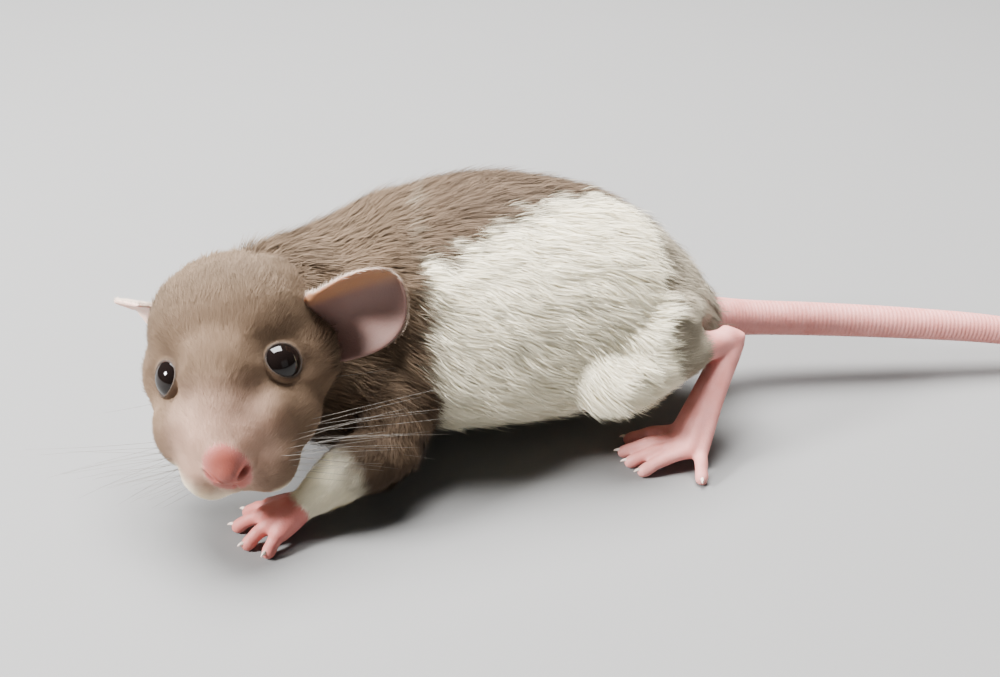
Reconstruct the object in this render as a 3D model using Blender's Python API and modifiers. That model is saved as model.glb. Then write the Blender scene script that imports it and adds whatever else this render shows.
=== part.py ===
"""A young pet rat at life size, standing low with its head turned to one side.

The rat looks toward -X and its tail runs toward +X. Its left side faces -Y and the floor is z = 0.
Sizes below are in millimetres, and the objects are in metres.
"""

import math

import bmesh
import bpy
from mathutils import Matrix, Vector
from mathutils.bvhtree import BVHTree

MM = 0.001
GAP = 0.3  # clear space between neighbouring pieces
SHIFT = Vector((-36.23, -0.97, 0.0))  # puts the middle of the model's box over the origin

# Trunk, from the tail's root to the back of the skull, out to the tips of the coat
TRUNK = (  # x, y, z of the centre line, half width, height over it, depth under it
    (29.4, 15.4, 10.8, 3.2, 3.2, 3.2),
    (24.8, 12.8, 12.6, 7.2, 7.0, 7.4),
    (18.2, 9.8, 15.4, 11.8, 11.6, 11.0),
    (9.5, 7.2, 18.0, 15.0, 15.6, 14.6),
    (-1.5, 5.6, 18.6, 16.6, 17.4, 15.6),
    (-11.0, 4.0, 17.8, 16.0, 16.8, 14.8),
    (-19.0, 2.4, 17.2, 14.0, 15.6, 13.6),
    (-26.0, -1.0, 18.6, 11.4, 12.6, 11.8),
    (-31.0, -6.5, 21.6, 9.0, 9.4, 9.0),
)
TRUNK_SQUARE = 2.5  # how full the lower corners of the body are, 2 being an ellipse
CHEST = ((-20.8, -6.2, 12.2), (7.6, 7.4, 8.2))  # the soft fold between the throat and the shoulder
TRUNK_RINGS = 48
TRUNK_SIDES = 36

# Head: its origin lies between the eyes, and its axes run forward, left and up
HEAD_PLACE = Vector((-32.2, -17.6, 21.4))
HEAD_FORWARD = Vector((0.040, -0.935, -0.353)).normalized()
HEAD_LEFT = Vector((0.9831, -0.0261, 0.1810)).normalized()
HEAD_UP = HEAD_FORWARD.cross(HEAD_LEFT).normalized()
HEAD_FORMS = (  # centre and radii, forward, left and up
    ((-6.6, 0.0, 0.3), (9.4, 10.4, 7.6)),  # brain case
    ((-1.5, 0.0, 0.6), (8.5, 6.4, 5.4)),  # forehead
    ((5.2, 0.0, -2.6), (8.4, 5.2, 4.3)),  # muzzle
    ((8.6, 0.0, -6.2), (4.6, 3.8, 4.2)),  # upper lip
    ((10.8, 0.0, -3.6), (3.4, 3.1, 2.9)),  # end of the snout
    ((12.7, 0.0, -3.7), (1.7, 2.2, 1.8)),  # nose pad
    ((3.5, 0.0, -9.4), (7.4, 3.8, 3.0)),  # lower jaw
    ((-6.0, 0.0, -6.0), (9.0, 8.0, 6.5)),  # throat
)
PAIRED_HEAD_FORMS = (
    ((8.8, 3.4, -6.8), (4.6, 3.8, 4.2)),  # whisker pad
    ((2.8, 5.2, -5.8), (6.2, 4.6, 4.8)),  # jowl
    ((-3.4, 6.8, -4.0), (7.2, 5.4, 5.8)),  # cheek
    ((4.6, 4.4, -2.9), (5.6, 3.4, 3.2)),  # fold from the eye to the pad
)
EYE_PLACE = (0.65, 6.1, -0.3)
EYE_AXIS = Vector((0.45, 0.70, 0.69)).normalized()
EYE_RADIUS = 2.75
LID_RADIUS = 2.35  # middle of the lid's rim
LID_WIDTH = 0.5
LID_OPEN = 0.86  # the opening along the head over its height
NOSTRIL_PLACE = (13.7, 1.95, -3.8)
NOSTRIL_RADII = (0.9, 0.42, 0.6)
MOUTH_HEART = (4.0, 0.0, -7.4)  # a place inside the muzzle that the lips are seen from
MOUTH_WAYS = (  # the left half of the lips' line, from the middle of the front to the corner
    (1.0, 0.0, -0.36),
    (0.90, 0.24, -0.44),
    (0.72, 0.46, -0.54),
    (0.50, 0.64, -0.52),
    (0.26, 0.80, -0.42),
)
CLEFT_WAYS = ((1.0, 0.0, 0.12), (1.0, 0.0, -0.10), (1.0, 0.0, -0.36))  # from the nose down to the lips
LIP_GROOVE = 0.32

EARS = {  # root, way out to the tip, way the cup opens, curl at the root and at the tip in degrees
    "left": ((-6.96, 10.68, -1.76), (-0.13, 0.92, 0.37), (0.99, 0.12, 0.06), 148, 80),
    "right": ((-8.66, -9.67, -0.18), (-0.53, -0.30, -0.54), (-0.23, -0.64, 0.64), 255, 240),
}
EAR_LENGTH = 11.0
EAR_WIDTH = 17.2  # along the curl
EAR_ROOT_SHARE = 0.66  # width at the root over the widest
EAR_CREASE = 2.4  # how much of the cup's curl is gathered along its middle
EAR_WALL = 0.7

# Limbs: joints and the radius of the flesh and coat at each, from the body outward
LIMBS = {
    "arm_left": (
        ((-16.0, -5.5, 15.0), 6.6),
        ((-13.8, -13.8, 9.0), 4.6),
        ((-19.0, -18.6, 6.8), 3.6),
        ((-24.2, -21.2, 3.8), 2.0),
    ),
    "arm_right": (
        ((-20.5, 10.5, 14.0), 6.6),
        ((-18.0, 16.6, 8.8), 4.6),
        ((-22.4, 14.6, 6.4), 3.6),
        ((-28.0, 11.0, 3.6), 2.0),
    ),
    "leg_left": (
        ((17.5, 2.4, 15.6), 9.4),
        ((13.2, -5.0, 13.0), 5.8),
        ((21.5, -2.6, 13.4), 3.6),
        ((27.2, 0.6, 13.9), 2.2),
        ((31.2, 3.2, 13.7), 2.1),
    ),
    "leg_right": (
        ((15.5, 17.6, 14.8), 9.2),
        ((4.4, 20.6, 11.0), 6.2),
        ((11.6, 23.2, 7.6), 3.5),
        ((17.2, 24.8, 4.5), 2.2),
        ((22.6, 25.6, 1.85), 1.9),
    ),
}
# Hands: knuckles and digit tips, from the inner side out; hind feet the same with five toes
PAWS = {
    "hand_left": {
        "knuckles": ((-28.4, -19.9, 2.6), (-28.8, -21.8, 2.7), (-28.0, -23.5, 2.5), (-26.4, -24.4, 2.2)),
        "tips": ((-31.4, -18.4), (-32.2, -21.4), (-30.4, -25.0), (-27.7, -26.6)),
    },
    "hand_right": {
        "knuckles": ((-32.0, 8.0, 2.5), (-32.8, 9.7, 2.7), (-32.7, 11.5, 2.6), (-31.6, 13.0, 2.2)),
        "tips": ((-34.8, 6.2), (-36.6, 9.2), (-36.4, 12.6), (-33.8, 15.2)),
    },
    "foot_left": {
        "knuckles": (
            (23.9, -3.6, 3.5),
            (23.4, -5.2, 3.2),
            (23.9, -6.6, 3.0),
            (24.8, -7.6, 2.9),
            (26.4, -7.4, 2.8),
        ),
        "tips": ((17.6, -1.4), (16.6, -4.6), (17.3, -7.0), (18.8, -9.2), (26.2, -11.0)),
    },
    "foot_right": {
        "knuckles": (
            (11.0, 22.2, 1.0),
            (8.2, 22.6, 1.0),
            (7.8, 24.2, 1.0),
            (8.2, 25.8, 1.0),
            (10.8, 27.2, 1.0),
        ),
        "tips": ((4.8, 19.2), (-0.2, 21.0), (-1.2, 24.2), (0.0, 27.6), (5.2, 30.6)),
    },
}
HAND_RADII = (1.95, 1.7, 1.3)  # at the wrist, the palm and the knuckles
FOOT_RADII = (2.0, 1.3, 1.15)
DIGIT_RADIUS = 1.05
TIP_HEIGHT = 0.78
CLAW_LENGTH = 1.0
CLAW_RADIUS = 0.34

# Tail: its route from the rump to the tip, and its radius there
TAIL = (
    (28.0, 14.5, 11.4, 3.5),
    (31.5, 15.9, 10.7, 2.95),
    (37.0, 17.6, 9.7, 2.6),
    (46.0, 18.5, 9.0, 2.5),
    (60.0, 19.3, 7.9, 2.35),
    (73.0, 20.2, 6.4, 2.15),
    (86.0, 20.6, 4.2, 1.85),
    (98.0, 18.6, 2.3, 1.5),
    (109.0, 13.5, 1.1, 1.2),
    (117.0, 6.5, 0.78, 0.88),
    (121.0, 0.5, 0.5, 0.55),
)
TAIL_LENGTHS = 4
TAIL_SIDES = 12

# Where the whole body is parted: a point on each cut and the way toward the head
HEAD_CUT = (Vector((-26.5, -4.5, 20.0)), Vector((-0.60, -0.80, 0.0)).normalized())
NECK_CUT = (Vector((-17.5, 2.0, 17.0)), Vector((-0.95, -0.30, 0.0)).normalized())
# Blocks that hold the upper and lower limbs: middle of the inner face, way outward, half sizes
CELLS = {
    "upper_arm_left": ((-14.6, -8.4, 11.6), (0.12, -0.90, -0.42), (8.0, 9.0, 7.0)),
    "upper_arm_right": ((-20.0, 13.0, 11.0), (0.12, 0.90, -0.42), (8.0, 9.0, 7.0)),
    "forearm_left": ((-14.4, -15.0, 8.0), (-0.82, -0.50, -0.30), (8.0, 6.0, 6.0)),
    "forearm_right": ((-18.8, 16.4, 7.6), (-0.82, -0.48, -0.30), (8.0, 6.0, 6.0)),
    "thigh_left": ((16.6, -0.4, 14.6), (0.30, -0.93, -0.20), (9.0, 12.5, 11.0)),
    "thigh_right": ((9.4, 18.4, 13.2), (-0.20, 0.96, -0.20), (9.0, 14.0, 11.0)),
    "shank_left": ((18.6, -4.2, 13.0), (0.85, 0.50, 0.05), (9.5, 6.0, 5.0)),
    "shank_right": ((8.6, 22.2, 9.4), (0.87, 0.25, -0.42), (9.5, 6.0, 5.0)),
}

VOXEL = 0.5
SOFTENING = 14
CRUMB = 0.03  # edges shorter than this go after a cut
FACES = {  # triangles left in each piece before its fine cuts
    "head": 2300,
    "neck": 620,
    "torso": 1700,
    "upper_arm": 300,
    "forearm": 380,
    "thigh": 460,
    "shank": 300,
    "hand": 700,
    "foot": 840,
}

COLOURS = {  # base colour, roughness
    "hood": ((0.33, 0.26, 0.20), 0.85),
    "cream": ((0.78, 0.73, 0.63), 0.85),
    "skin": ((0.80, 0.48, 0.45), 0.55),
    "eye": ((0.008, 0.006, 0.007), 0.08),
}


def spot(point):
    """A place in the model, in metres, from millimetres."""
    return (Vector(point) + SHIFT) * MM


def head_spot(forward, left, up):
    """A place given in the head's own axes."""
    return HEAD_PLACE + HEAD_FORWARD * forward + HEAD_LEFT * left + HEAD_UP * up


def head_way(way):
    return HEAD_FORWARD * way[0] + HEAD_LEFT * way[1] + HEAD_UP * way[2]


def mirrored(triple, side):
    return (triple[0], triple[1] * side, triple[2])


def material(name):
    colour, roughness = COLOURS[name]
    made = bpy.data.materials.get(name) or bpy.data.materials.new(name)
    made.use_nodes = True
    made.diffuse_color = (*colour, 1)
    shader = made.node_tree.nodes["Principled BSDF"]
    shader.inputs["Base Color"].default_value = (*colour, 1)
    shader.inputs["Roughness"].default_value = roughness
    shader.inputs["Metallic"].default_value = 0
    return made


def clear_scene():
    for obj in list(bpy.data.objects):
        bpy.data.objects.remove(obj)


def new_object(name, mesh):
    obj = bpy.data.objects.new(name, mesh)
    bpy.context.scene.collection.objects.link(obj)
    return obj


def evaluated_copy(obj):
    """A plain mesh of the object as its modifiers make it."""
    bpy.context.view_layer.update()
    graph = bpy.context.evaluated_depsgraph_get()
    mesh = bpy.data.meshes.new_from_object(obj.evaluated_get(graph))
    mesh.transform(obj.matrix_world)
    return mesh


def settle(obj):
    """Applies the object's modifiers and leaves it at the origin with a plain mesh."""
    mesh = evaluated_copy(obj)
    name = obj.name
    bpy.data.objects.remove(obj)
    return new_object(name, mesh)


def largest_surface(obj):
    """Keeps only the largest closed surface of the object."""
    work = bmesh.new()
    work.from_mesh(obj.data)
    islands, seen = [], set()
    for start in work.verts:
        if start in seen:
            continue
        island, front = [], [start]
        seen.add(start)
        while front:
            vert = front.pop()
            island.append(vert)
            for edge in vert.link_edges:
                other = edge.other_vert(vert)
                if other not in seen:
                    seen.add(other)
                    front.append(other)
        islands.append(island)
    keep = max(islands, key=len)
    loose = [v for island in islands if island is not keep for v in island]
    bmesh.ops.delete(work, geom=loose, context="VERTS")
    work.to_mesh(obj.data)
    work.free()
    return obj


def combine(obj, others, operation, solver="EXACT"):
    """A Boolean of the object with others, which are removed."""
    helpers = bpy.data.collections.new("helpers")
    for other in others:
        helpers.objects.link(other)
    modifier = obj.modifiers.new("join", "BOOLEAN")
    modifier.operation = operation
    modifier.solver = solver
    modifier.operand_type = "COLLECTION"
    modifier.collection = helpers
    obj = settle(obj)
    for other in others:
        bpy.data.objects.remove(other)
    bpy.data.collections.remove(helpers)
    return largest_surface(obj)


def carve(obj, cutters):
    """Takes each cutter out of the object in turn."""
    for cutter in cutters:
        obj = combine(obj, [cutter], "DIFFERENCE", "MANIFOLD")
    return obj


def copy_of(obj, name):
    return new_object(name, obj.data.copy())


def grown(obj, by):
    """A copy of the object with its surface moved out along the normals."""
    copy = copy_of(obj, obj.name + "_grown")
    normals = [v.normal.copy() for v in copy.data.vertices]
    for vert, normal in zip(copy.data.vertices, normals):
        vert.co += normal * by * MM
    return copy


def block(name, corner_to_corner):
    """A box from its eight corner points' frame: centre, three unit ways and three half sizes."""
    centre, ways, halves = corner_to_corner
    bpy.ops.mesh.primitive_cube_add(size=2)
    cube = bpy.context.object
    cube.name = name
    frame = Matrix([ways[0] * halves[0], ways[1] * halves[1], ways[2] * halves[2]]).transposed().to_4x4()
    frame = Matrix.Scale(MM, 4) @ frame
    frame.translation = spot(centre)
    cube.data.transform(frame)
    return cube


def ways_from(outward):
    """Three unit ways at right angles, the first of them outward."""
    out = Vector(outward).normalized()
    along = Vector((0, 0, 1)).cross(out).normalized()
    return out, along, out.cross(along)


def half_space(name, point, toward, reach=200.0):
    """A large block that fills the side of a plane that 'toward' points to."""
    ways = ways_from(toward)
    return block(name, (Vector(point) + ways[0] * reach, ways, (reach, reach, reach)))


def floor_block():
    return half_space("under_floor", (0, 0, 0), (0.0, 1e-9, -1.0))


def spline(rows, count):
    """Points evenly counted along a smooth curve through the rows, each a tuple of any width."""
    rows = [Vector(row) for row in rows]
    padded = [rows[0] * 2 - rows[1], *rows, rows[-1] * 2 - rows[-2]]
    made = []
    for i in range(count):
        place = i / (count - 1) * (len(rows) - 1)
        k = min(int(place), len(rows) - 2)
        t = place - k
        a, b, c, d = padded[k : k + 4]
        square = (2 * a - 5 * b + 4 * c - d) * t**2
        cube = (3 * b - a - 3 * c + d) * t**3
        made.append(b + ((c - a) * t + square + cube) / 2)
    return made


def ball(name, centre, radii, ways, segments=24, rings=14):
    """An ellipsoid: centre in millimetres, radii along three unit ways."""
    work = bmesh.new()
    bmesh.ops.create_uvsphere(work, u_segments=segments, v_segments=rings, radius=1)
    mesh = bpy.data.meshes.new(name)
    work.to_mesh(mesh)
    work.free()
    frame = Matrix([ways[0] * radii[0], ways[1] * radii[1], ways[2] * radii[2]]).transposed().to_4x4()
    frame = Matrix.Scale(MM, 4) @ frame
    frame.translation = spot(centre)
    mesh.transform(frame)
    if frame.determinant() < 0:
        mesh.flip_normals()
    return new_object(name, mesh)


def trunk():
    """The body as rings round its centre line, wider than high and a little flat below."""
    rows = spline(TRUNK, TRUNK_RINGS)
    work = bmesh.new()
    rings = []
    for i, row in enumerate(rows):
        before = rows[max(i - 1, 0)]
        after = rows[min(i + 1, len(rows) - 1)]
        along = Vector((after[0] - before[0], after[1] - before[1], after[2] - before[2])).normalized()
        side = along.cross(Vector((0, 0, 1))).normalized()
        up = side.cross(along)
        ring = []
        for k in range(TRUNK_SIDES):
            angle = math.tau * k / TRUNK_SIDES
            below = math.sin(angle) < 0
            bend = 2 / TRUNK_SQUARE if below else 1
            across = math.copysign(abs(math.cos(angle)) ** bend, math.cos(angle))
            rise = math.copysign(abs(math.sin(angle)) ** bend, math.sin(angle))
            reach = side * row[3] * across + up * (row[5] if below else row[4]) * rise
            ring.append(work.verts.new(spot(Vector(row[:3]) + reach)))
        rings.append(ring)
    for low, high in zip(rings, rings[1:]):
        for k in range(TRUNK_SIDES):
            n = (k + 1) % TRUNK_SIDES
            work.faces.new((low[k], low[n], high[n], high[k]))
    work.faces.new(rings[0][::-1])
    work.faces.new(rings[-1])
    bmesh.ops.recalc_face_normals(work, faces=work.faces)
    mesh = bpy.data.meshes.new("trunk")
    work.to_mesh(mesh)
    work.free()
    return new_object("trunk", mesh)


def limb(name, joints, sides=16, between=5):
    """A tapered limb with round ends through its joints, each a centre and a radius."""
    rows = spline([(*centre, radius) for centre, radius in joints], between * (len(joints) - 1) + 1)
    first, last = Vector(rows[0]), Vector(rows[-1])
    ends = []
    for end, inner, order in ((first, rows[1], 1), (last, rows[-2], -1)):
        out = (Vector(end[:3]) - Vector(inner[:3])).normalized()
        dome = []
        for share in (0.92, 0.72, 0.4):
            reach = end[3] * math.sqrt(1 - share**2)
            dome.append((*(Vector(end[:3]) + out * reach), end[3] * share))
        dome.append((*(Vector(end[:3]) + out * end[3] * 0.99), end[3] * 0.12))
        ends.append(dome[::-1] if order > 0 else dome)
    return tube(name, [*ends[0], *[tuple(row) for row in rows], *ends[1]], sides)


def tube(name, rows, sides):
    """A round tube through rows of x, y, z and radius, with flat ends, as a mesh."""
    curve = bpy.data.curves.new(name, "CURVE")
    curve.dimensions = "3D"
    curve.bevel_depth = MM
    curve.bevel_resolution = max(sides // 2 - 2, 0)
    curve.use_fill_caps = True
    curve.twist_mode = "MINIMUM"
    line = curve.splines.new("POLY")
    line.points.add(len(rows) - 1)
    for point, row in zip(line.points, rows):
        point.co = (*spot(row[:3]), 1)
        point.radius = row[3]
    holder = bpy.data.objects.new(name, curve)
    bpy.context.scene.collection.objects.link(holder)
    mesh = evaluated_copy(holder)
    bpy.data.objects.remove(holder)
    work = bmesh.new()
    work.from_mesh(mesh)
    bmesh.ops.remove_doubles(work, verts=work.verts, dist=1e-7)
    bmesh.ops.recalc_face_normals(work, faces=work.faces)
    work.to_mesh(mesh)
    work.free()
    return new_object(name, mesh)


def head_forms():
    ways = (HEAD_FORWARD, HEAD_LEFT, HEAD_UP)
    made = [ball("head_form", head_spot(*centre), radii, ways) for centre, radii in HEAD_FORMS]
    for centre, radii in PAIRED_HEAD_FORMS:
        for side in (1, -1):
            made.append(ball("head_form", head_spot(*mirrored(centre, side)), radii, ways))
    return made


def whole_body():
    """Trunk, head and limbs as one smooth skin, with the hollows between them filled a little."""
    upright = (Vector((1, 0, 0)), Vector((0, 1, 0)), Vector((0, 0, 1)))
    pieces = [trunk(), ball("chest", *CHEST, upright), *head_forms()]
    pieces += [limb(name, joints) for name, joints in LIMBS.items()]
    work = bmesh.new()
    for piece in pieces:
        work.from_mesh(piece.data)
        bpy.data.objects.remove(piece)
    mesh = bpy.data.meshes.new("whole")
    work.to_mesh(mesh)
    work.free()
    whole = new_object("whole", mesh)
    remesh = whole.modifiers.new("blend", "REMESH")
    remesh.mode = "VOXEL"
    remesh.voxel_size = VOXEL * MM
    remesh.adaptivity = 0
    smooth = whole.modifiers.new("soften", "SMOOTH")
    smooth.factor = 0.5
    smooth.iterations = SOFTENING
    return settle(whole)


def thinned(obj):
    """The object with about as many triangles as are named for its kind."""
    faces = next(count for kind, count in FACES.items() if obj.name.startswith(kind))
    triangles = sum(len(p.vertices) - 2 for p in obj.data.polygons)
    modifier = obj.modifiers.new("thin", "DECIMATE")
    modifier.ratio = faces / triangles
    modifier.use_collapse_triangulate = True
    return settle(obj)


def swept(obj):
    """The object without the tiny edges that a cut leaves along its rim."""
    work = bmesh.new()
    work.from_mesh(obj.data)
    bmesh.ops.triangulate(work, faces=work.faces)
    bmesh.ops.dissolve_degenerate(work, dist=CRUMB * MM, edges=work.edges)
    work.to_mesh(obj.data)
    work.free()
    return obj


def kept_side(obj, cut, clear, toward_head):
    """Keeps the part of the object on one side of a cut, clear of it by half the gap."""
    point, way = cut
    way = way if toward_head else -way
    return combine(obj, [half_space("side", point + way * clear, way)], "INTERSECT", "MANIFOLD")


def cell_block(name, grow):
    centre, outward, halves = CELLS[name]
    ways = ways_from(outward)
    middle = Vector(centre) + ways[0] * halves[0]
    halves = [half + grow for half in halves]
    return block(name + "_cell", (middle, ways, halves))


def mitre(joints, paw):
    """The plane that parts a limb from its paw, halfway round the bend between them."""
    end = Vector(joints[-1][0])
    back = (Vector(joints[-2][0]) - end).normalized()
    middle = sum((Vector(k) for k in paw["knuckles"]), Vector()) / len(paw["knuckles"])
    on = (middle - end).normalized()
    return end, (back - on).normalized()


def make_eye(side, word):
    """The dark ball of one eye."""
    way = head_way(mirrored(EYE_AXIS, side)).normalized()
    ways = ways_from(way)
    centre = head_spot(*mirrored(EYE_PLACE, side))
    eye = ball("eye_" + word, centre, (EYE_RADIUS,) * 3, ways, 16, 10)
    eye.data.materials.append(material("eye"))
    return eye


def lid_rim(side):
    """The rim of both lids round one eye."""
    way = head_way(mirrored(EYE_AXIS, side)).normalized()
    rise = math.sqrt(EYE_RADIUS**2 - LID_RADIUS**2) + 0.15
    centre = head_spot(*mirrored(EYE_PLACE, side)) + way * rise
    bpy.ops.mesh.primitive_torus_add(
        major_segments=22, minor_segments=8, major_radius=LID_RADIUS, minor_radius=LID_WIDTH
    )
    rim = bpy.context.object
    rim.name = "lid_rim"
    along = (HEAD_FORWARD - way * HEAD_FORWARD.dot(way)).normalized()
    high = way.cross(along)
    frame = Matrix([along * LID_OPEN, high, way]).transposed().to_4x4()
    frame = Matrix.Scale(MM, 4) @ frame
    frame.translation = spot(centre)
    rim.data.transform(frame)
    return rim


def groove(name, head, ways):
    """A thin round cutter that follows the head's surface, as seen from inside the muzzle."""
    tree = BVHTree.FromPolygons([v.co for v in head.data.vertices], [p.vertices for p in head.data.polygons])
    heart = spot(head_spot(*MOUTH_HEART))
    rows = []
    for way in ways:
        way = head_way(way).normalized()
        rows.append((*(tree.ray_cast(heart, way)[0] / MM - SHIFT), LIP_GROOVE))
    return tube(name, [tuple(row) for row in spline(rows, len(rows) * 3)], 8)


def face_grooves(head):
    """The line of the mouth and the cleft under the nose."""
    right = [mirrored(way, -1) for way in MOUTH_WAYS[:0:-1]]
    return [groove("mouth", head, [*right, *MOUTH_WAYS]), groove("cleft", head, CLEFT_WAYS)]


def lid_opening(side):
    """The clear space in front of one eye, as wide as the gap between the lids."""
    way = head_way(mirrored(EYE_AXIS, side)).normalized()
    along = (HEAD_FORWARD - way * HEAD_FORWARD.dot(way)).normalized()
    centre = head_spot(*mirrored(EYE_PLACE, side)) + way * EYE_RADIUS
    reach = LID_RADIUS - LID_WIDTH * 0.5
    radii = (reach * LID_OPEN, reach, EYE_RADIUS * 0.8)
    return ball("lid_opening", centre, radii, (along, way.cross(along), way), 20, 10)


def make_head(whole, eyes):
    head = kept_side(copy_of(whole, "head"), HEAD_CUT, GAP / 2, True)
    arms = ("upper_arm_left", "upper_arm_right", "forearm_left", "forearm_right")
    head = carve(head, [cell_block(name, GAP) for name in arms])
    head = thinned(head)
    for side in (1, -1):
        head = combine(head, [lid_rim(side)], "UNION", "MANIFOLD")
    cutters = [grown(eye, GAP) for eye in eyes] + [lid_opening(1), lid_opening(-1), *face_grooves(head)]
    ways = (HEAD_FORWARD, HEAD_LEFT, HEAD_UP)
    for side in (1, -1):
        cutters.append(ball("nostril", head_spot(*mirrored(NOSTRIL_PLACE, side)), NOSTRIL_RADII, ways, 10, 6))
    return carve(head, cutters)


def creased(width, curl, steps):
    """Places across one row of an ear, sideways and the way it opens, with most of the bend in the middle."""
    step = width / steps / 2
    half = [(0.0, 0.0)]
    for j in range(steps):
        place = (j + 0.5) / steps
        turn = 0.35 * place + 0.65 * math.tanh(EAR_CREASE * place) / math.tanh(EAR_CREASE)
        side, reach = half[-1]
        half.append((side + math.cos(curl / 2 * turn) * step, reach + math.sin(curl / 2 * turn) * step))
    return [(-side, reach) for side, reach in half[:0:-1]] + half


def make_ear(neighbours, word):
    """A thin cup: rows from the root to the tip, each an arc that opens the way the ear faces."""
    rows = 9
    root, out, face, root_curl, tip_curl = EARS[word]
    root = head_spot(*root)
    out = head_way(out).normalized()
    face = head_way(face)
    face = (face - out * face.dot(out)).normalized()
    across = out.cross(face)
    work = bmesh.new()
    grid = []
    for i in range(rows):
        t = math.sin(i / (rows - 1) * math.pi / 2)
        width = EAR_WIDTH * (EAR_ROOT_SHARE + (1 - EAR_ROOT_SHARE) * math.sin(t * math.pi / 2))
        width = max(width * math.sqrt(1 - t**3.2), 0.16 * EAR_WIDTH)
        curl = min(math.radians(root_curl * (1 - t) + tip_curl * t), width * 0.8)
        start = root + out * EAR_LENGTH * (t * 1.2 - 0.2)
        line = []
        for side, reach in creased(width, curl, 6):
            line.append(work.verts.new(spot(start + across * side + face * reach)))
        grid.append(line)
    for low, high in zip(grid, grid[1:]):
        for j in range(len(low) - 1):
            work.faces.new((low[j], low[j + 1], high[j + 1], high[j]))
    mesh = bpy.data.meshes.new("ear_" + word)
    work.to_mesh(mesh)
    work.free()
    ear = new_object("ear_" + word, mesh)
    wall = ear.modifiers.new("wall", "SOLIDIFY")
    wall.thickness = EAR_WALL * MM
    wall.offset = 0
    wall.use_even_offset = True
    ear = settle(ear)
    work = bmesh.new()
    work.from_mesh(ear.data)
    bmesh.ops.recalc_face_normals(work, faces=work.faces)
    bmesh.ops.triangulate(work, faces=work.faces)
    work.to_mesh(ear.data)
    work.free()
    return carve(ear, [grown(neighbour, GAP) for neighbour in neighbours])


def digit(name, knuckle, tip, radius):
    """One finger or toe: it comes down from the knuckle and ends in a pad and a claw."""
    knuckle = Vector(knuckle)
    tip = Vector((*tip, TIP_HEIGHT))
    middle = knuckle.lerp(tip, 0.55)
    middle.z = max(knuckle.z * 0.62 + tip.z * 0.38, radius * 1.3)
    near = knuckle.lerp(middle, -0.4)
    rows = [(*near, radius * 0.9)]
    path = [(*knuckle, radius), (*middle, radius * 0.92), (*tip, radius * 0.9)]
    rows += [tuple(row) for row in spline(path, 5)]
    way = (tip - middle).normalized()
    rows.append((*(tip + way * radius * 0.75), radius * 0.5))
    toe = tube(name, rows, 8)
    start = tip + way * radius * 0.1 + Vector((0, 0, radius * 0.3))
    end = start + way * (CLAW_LENGTH + radius * 0.7)
    path = [(*start, CLAW_RADIUS), (*start.lerp(end, 0.6), CLAW_RADIUS * 0.8), (*end, 0.1)]
    return toe, tube(name + "_claw", path, 6)


def make_paw(name, joints, radii):
    """A hand or foot: a palm from the wrist or heel to the knuckles, with its digits and claws."""
    plan = PAWS[name]
    begin = Vector(joints[-1][0])
    pieces = []
    for i, (knuckle, tip) in enumerate(zip(plan["knuckles"], plan["tips"])):
        knuckle = Vector(knuckle)
        pieces += digit(f"{name}_{i}", knuckle, tip, DIGIT_RADIUS)
        bone = [(begin, radii[0]), (begin.lerp(knuckle, 0.5), radii[1]), (knuckle, radii[2])]
        pieces.append(limb(f"{name}_bone_{i}", bone, 10, 2))
    paw = combine(pieces[0], pieces[1:], "UNION")
    paw.name = name
    paw = thinned(paw)
    point, way = mitre(joints, plan)
    paw = combine(paw, [half_space("joint", point - way * GAP / 2, -way)], "INTERSECT", "MANIFOLD")
    return carve(paw, [floor_block()])


def make_limbs(whole):
    """The pieces of all four limbs, parted from the whole body, and the paws."""
    made = {}
    for word in ("left", "right"):
        for chain, upper, lower, paw, radii in (
            ("arm_", "upper_arm_", "forearm_", "hand_", HAND_RADII),
            ("leg_", "thigh_", "shank_", "foot_", FOOT_RADII),
        ):
            joints = LIMBS[chain + word]
            made[paw + word] = make_paw(paw + word, joints, radii)
            piece = copy_of(whole, lower + word)
            piece = combine(piece, [cell_block(lower + word, 0)], "INTERSECT", "MANIFOLD")
            point, way = mitre(joints, PAWS[paw + word])
            side = half_space("joint", point + way * GAP / 2, way)
            made[lower + word] = thinned(swept(combine(piece, [side], "INTERSECT", "MANIFOLD")))
            piece = copy_of(whole, upper + word)
            piece = combine(piece, [cell_block(upper + word, 0)], "INTERSECT", "MANIFOLD")
            made[upper + word] = thinned(swept(carve(piece, [cell_block(lower + word, GAP)])))
    return made


def make_tail():
    """The tail in lengths that stand end to end."""
    rows = spline(TAIL, 61)
    per = (len(rows) - 1) // TAIL_LENGTHS
    made = []
    for n in range(TAIL_LENGTHS):
        part = [tuple(row) for row in rows[n * per : (n + 1) * per + 1]]
        if n:
            start, after = Vector(part[0][:3]), Vector(part[1][:3])
            part[0] = (*(start + (after - start).normalized() * GAP), part[0][3])
        part = part[:1] + part[1:-1:2] + part[-1:]
        length = tube(f"tail_{n + 1}", part, TAIL_SIDES)
        made.append(carve(length, [floor_block()]))
    return made


def finish(obj, colour):
    """Gives a node its material and triangles."""
    obj.data.materials.clear()
    obj.data.materials.append(material(colour))
    work = bmesh.new()
    work.from_mesh(obj.data)
    bmesh.ops.triangulate(work, faces=work.faces)
    work.to_mesh(obj.data)
    work.free()
    obj.data.shade_smooth()


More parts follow.
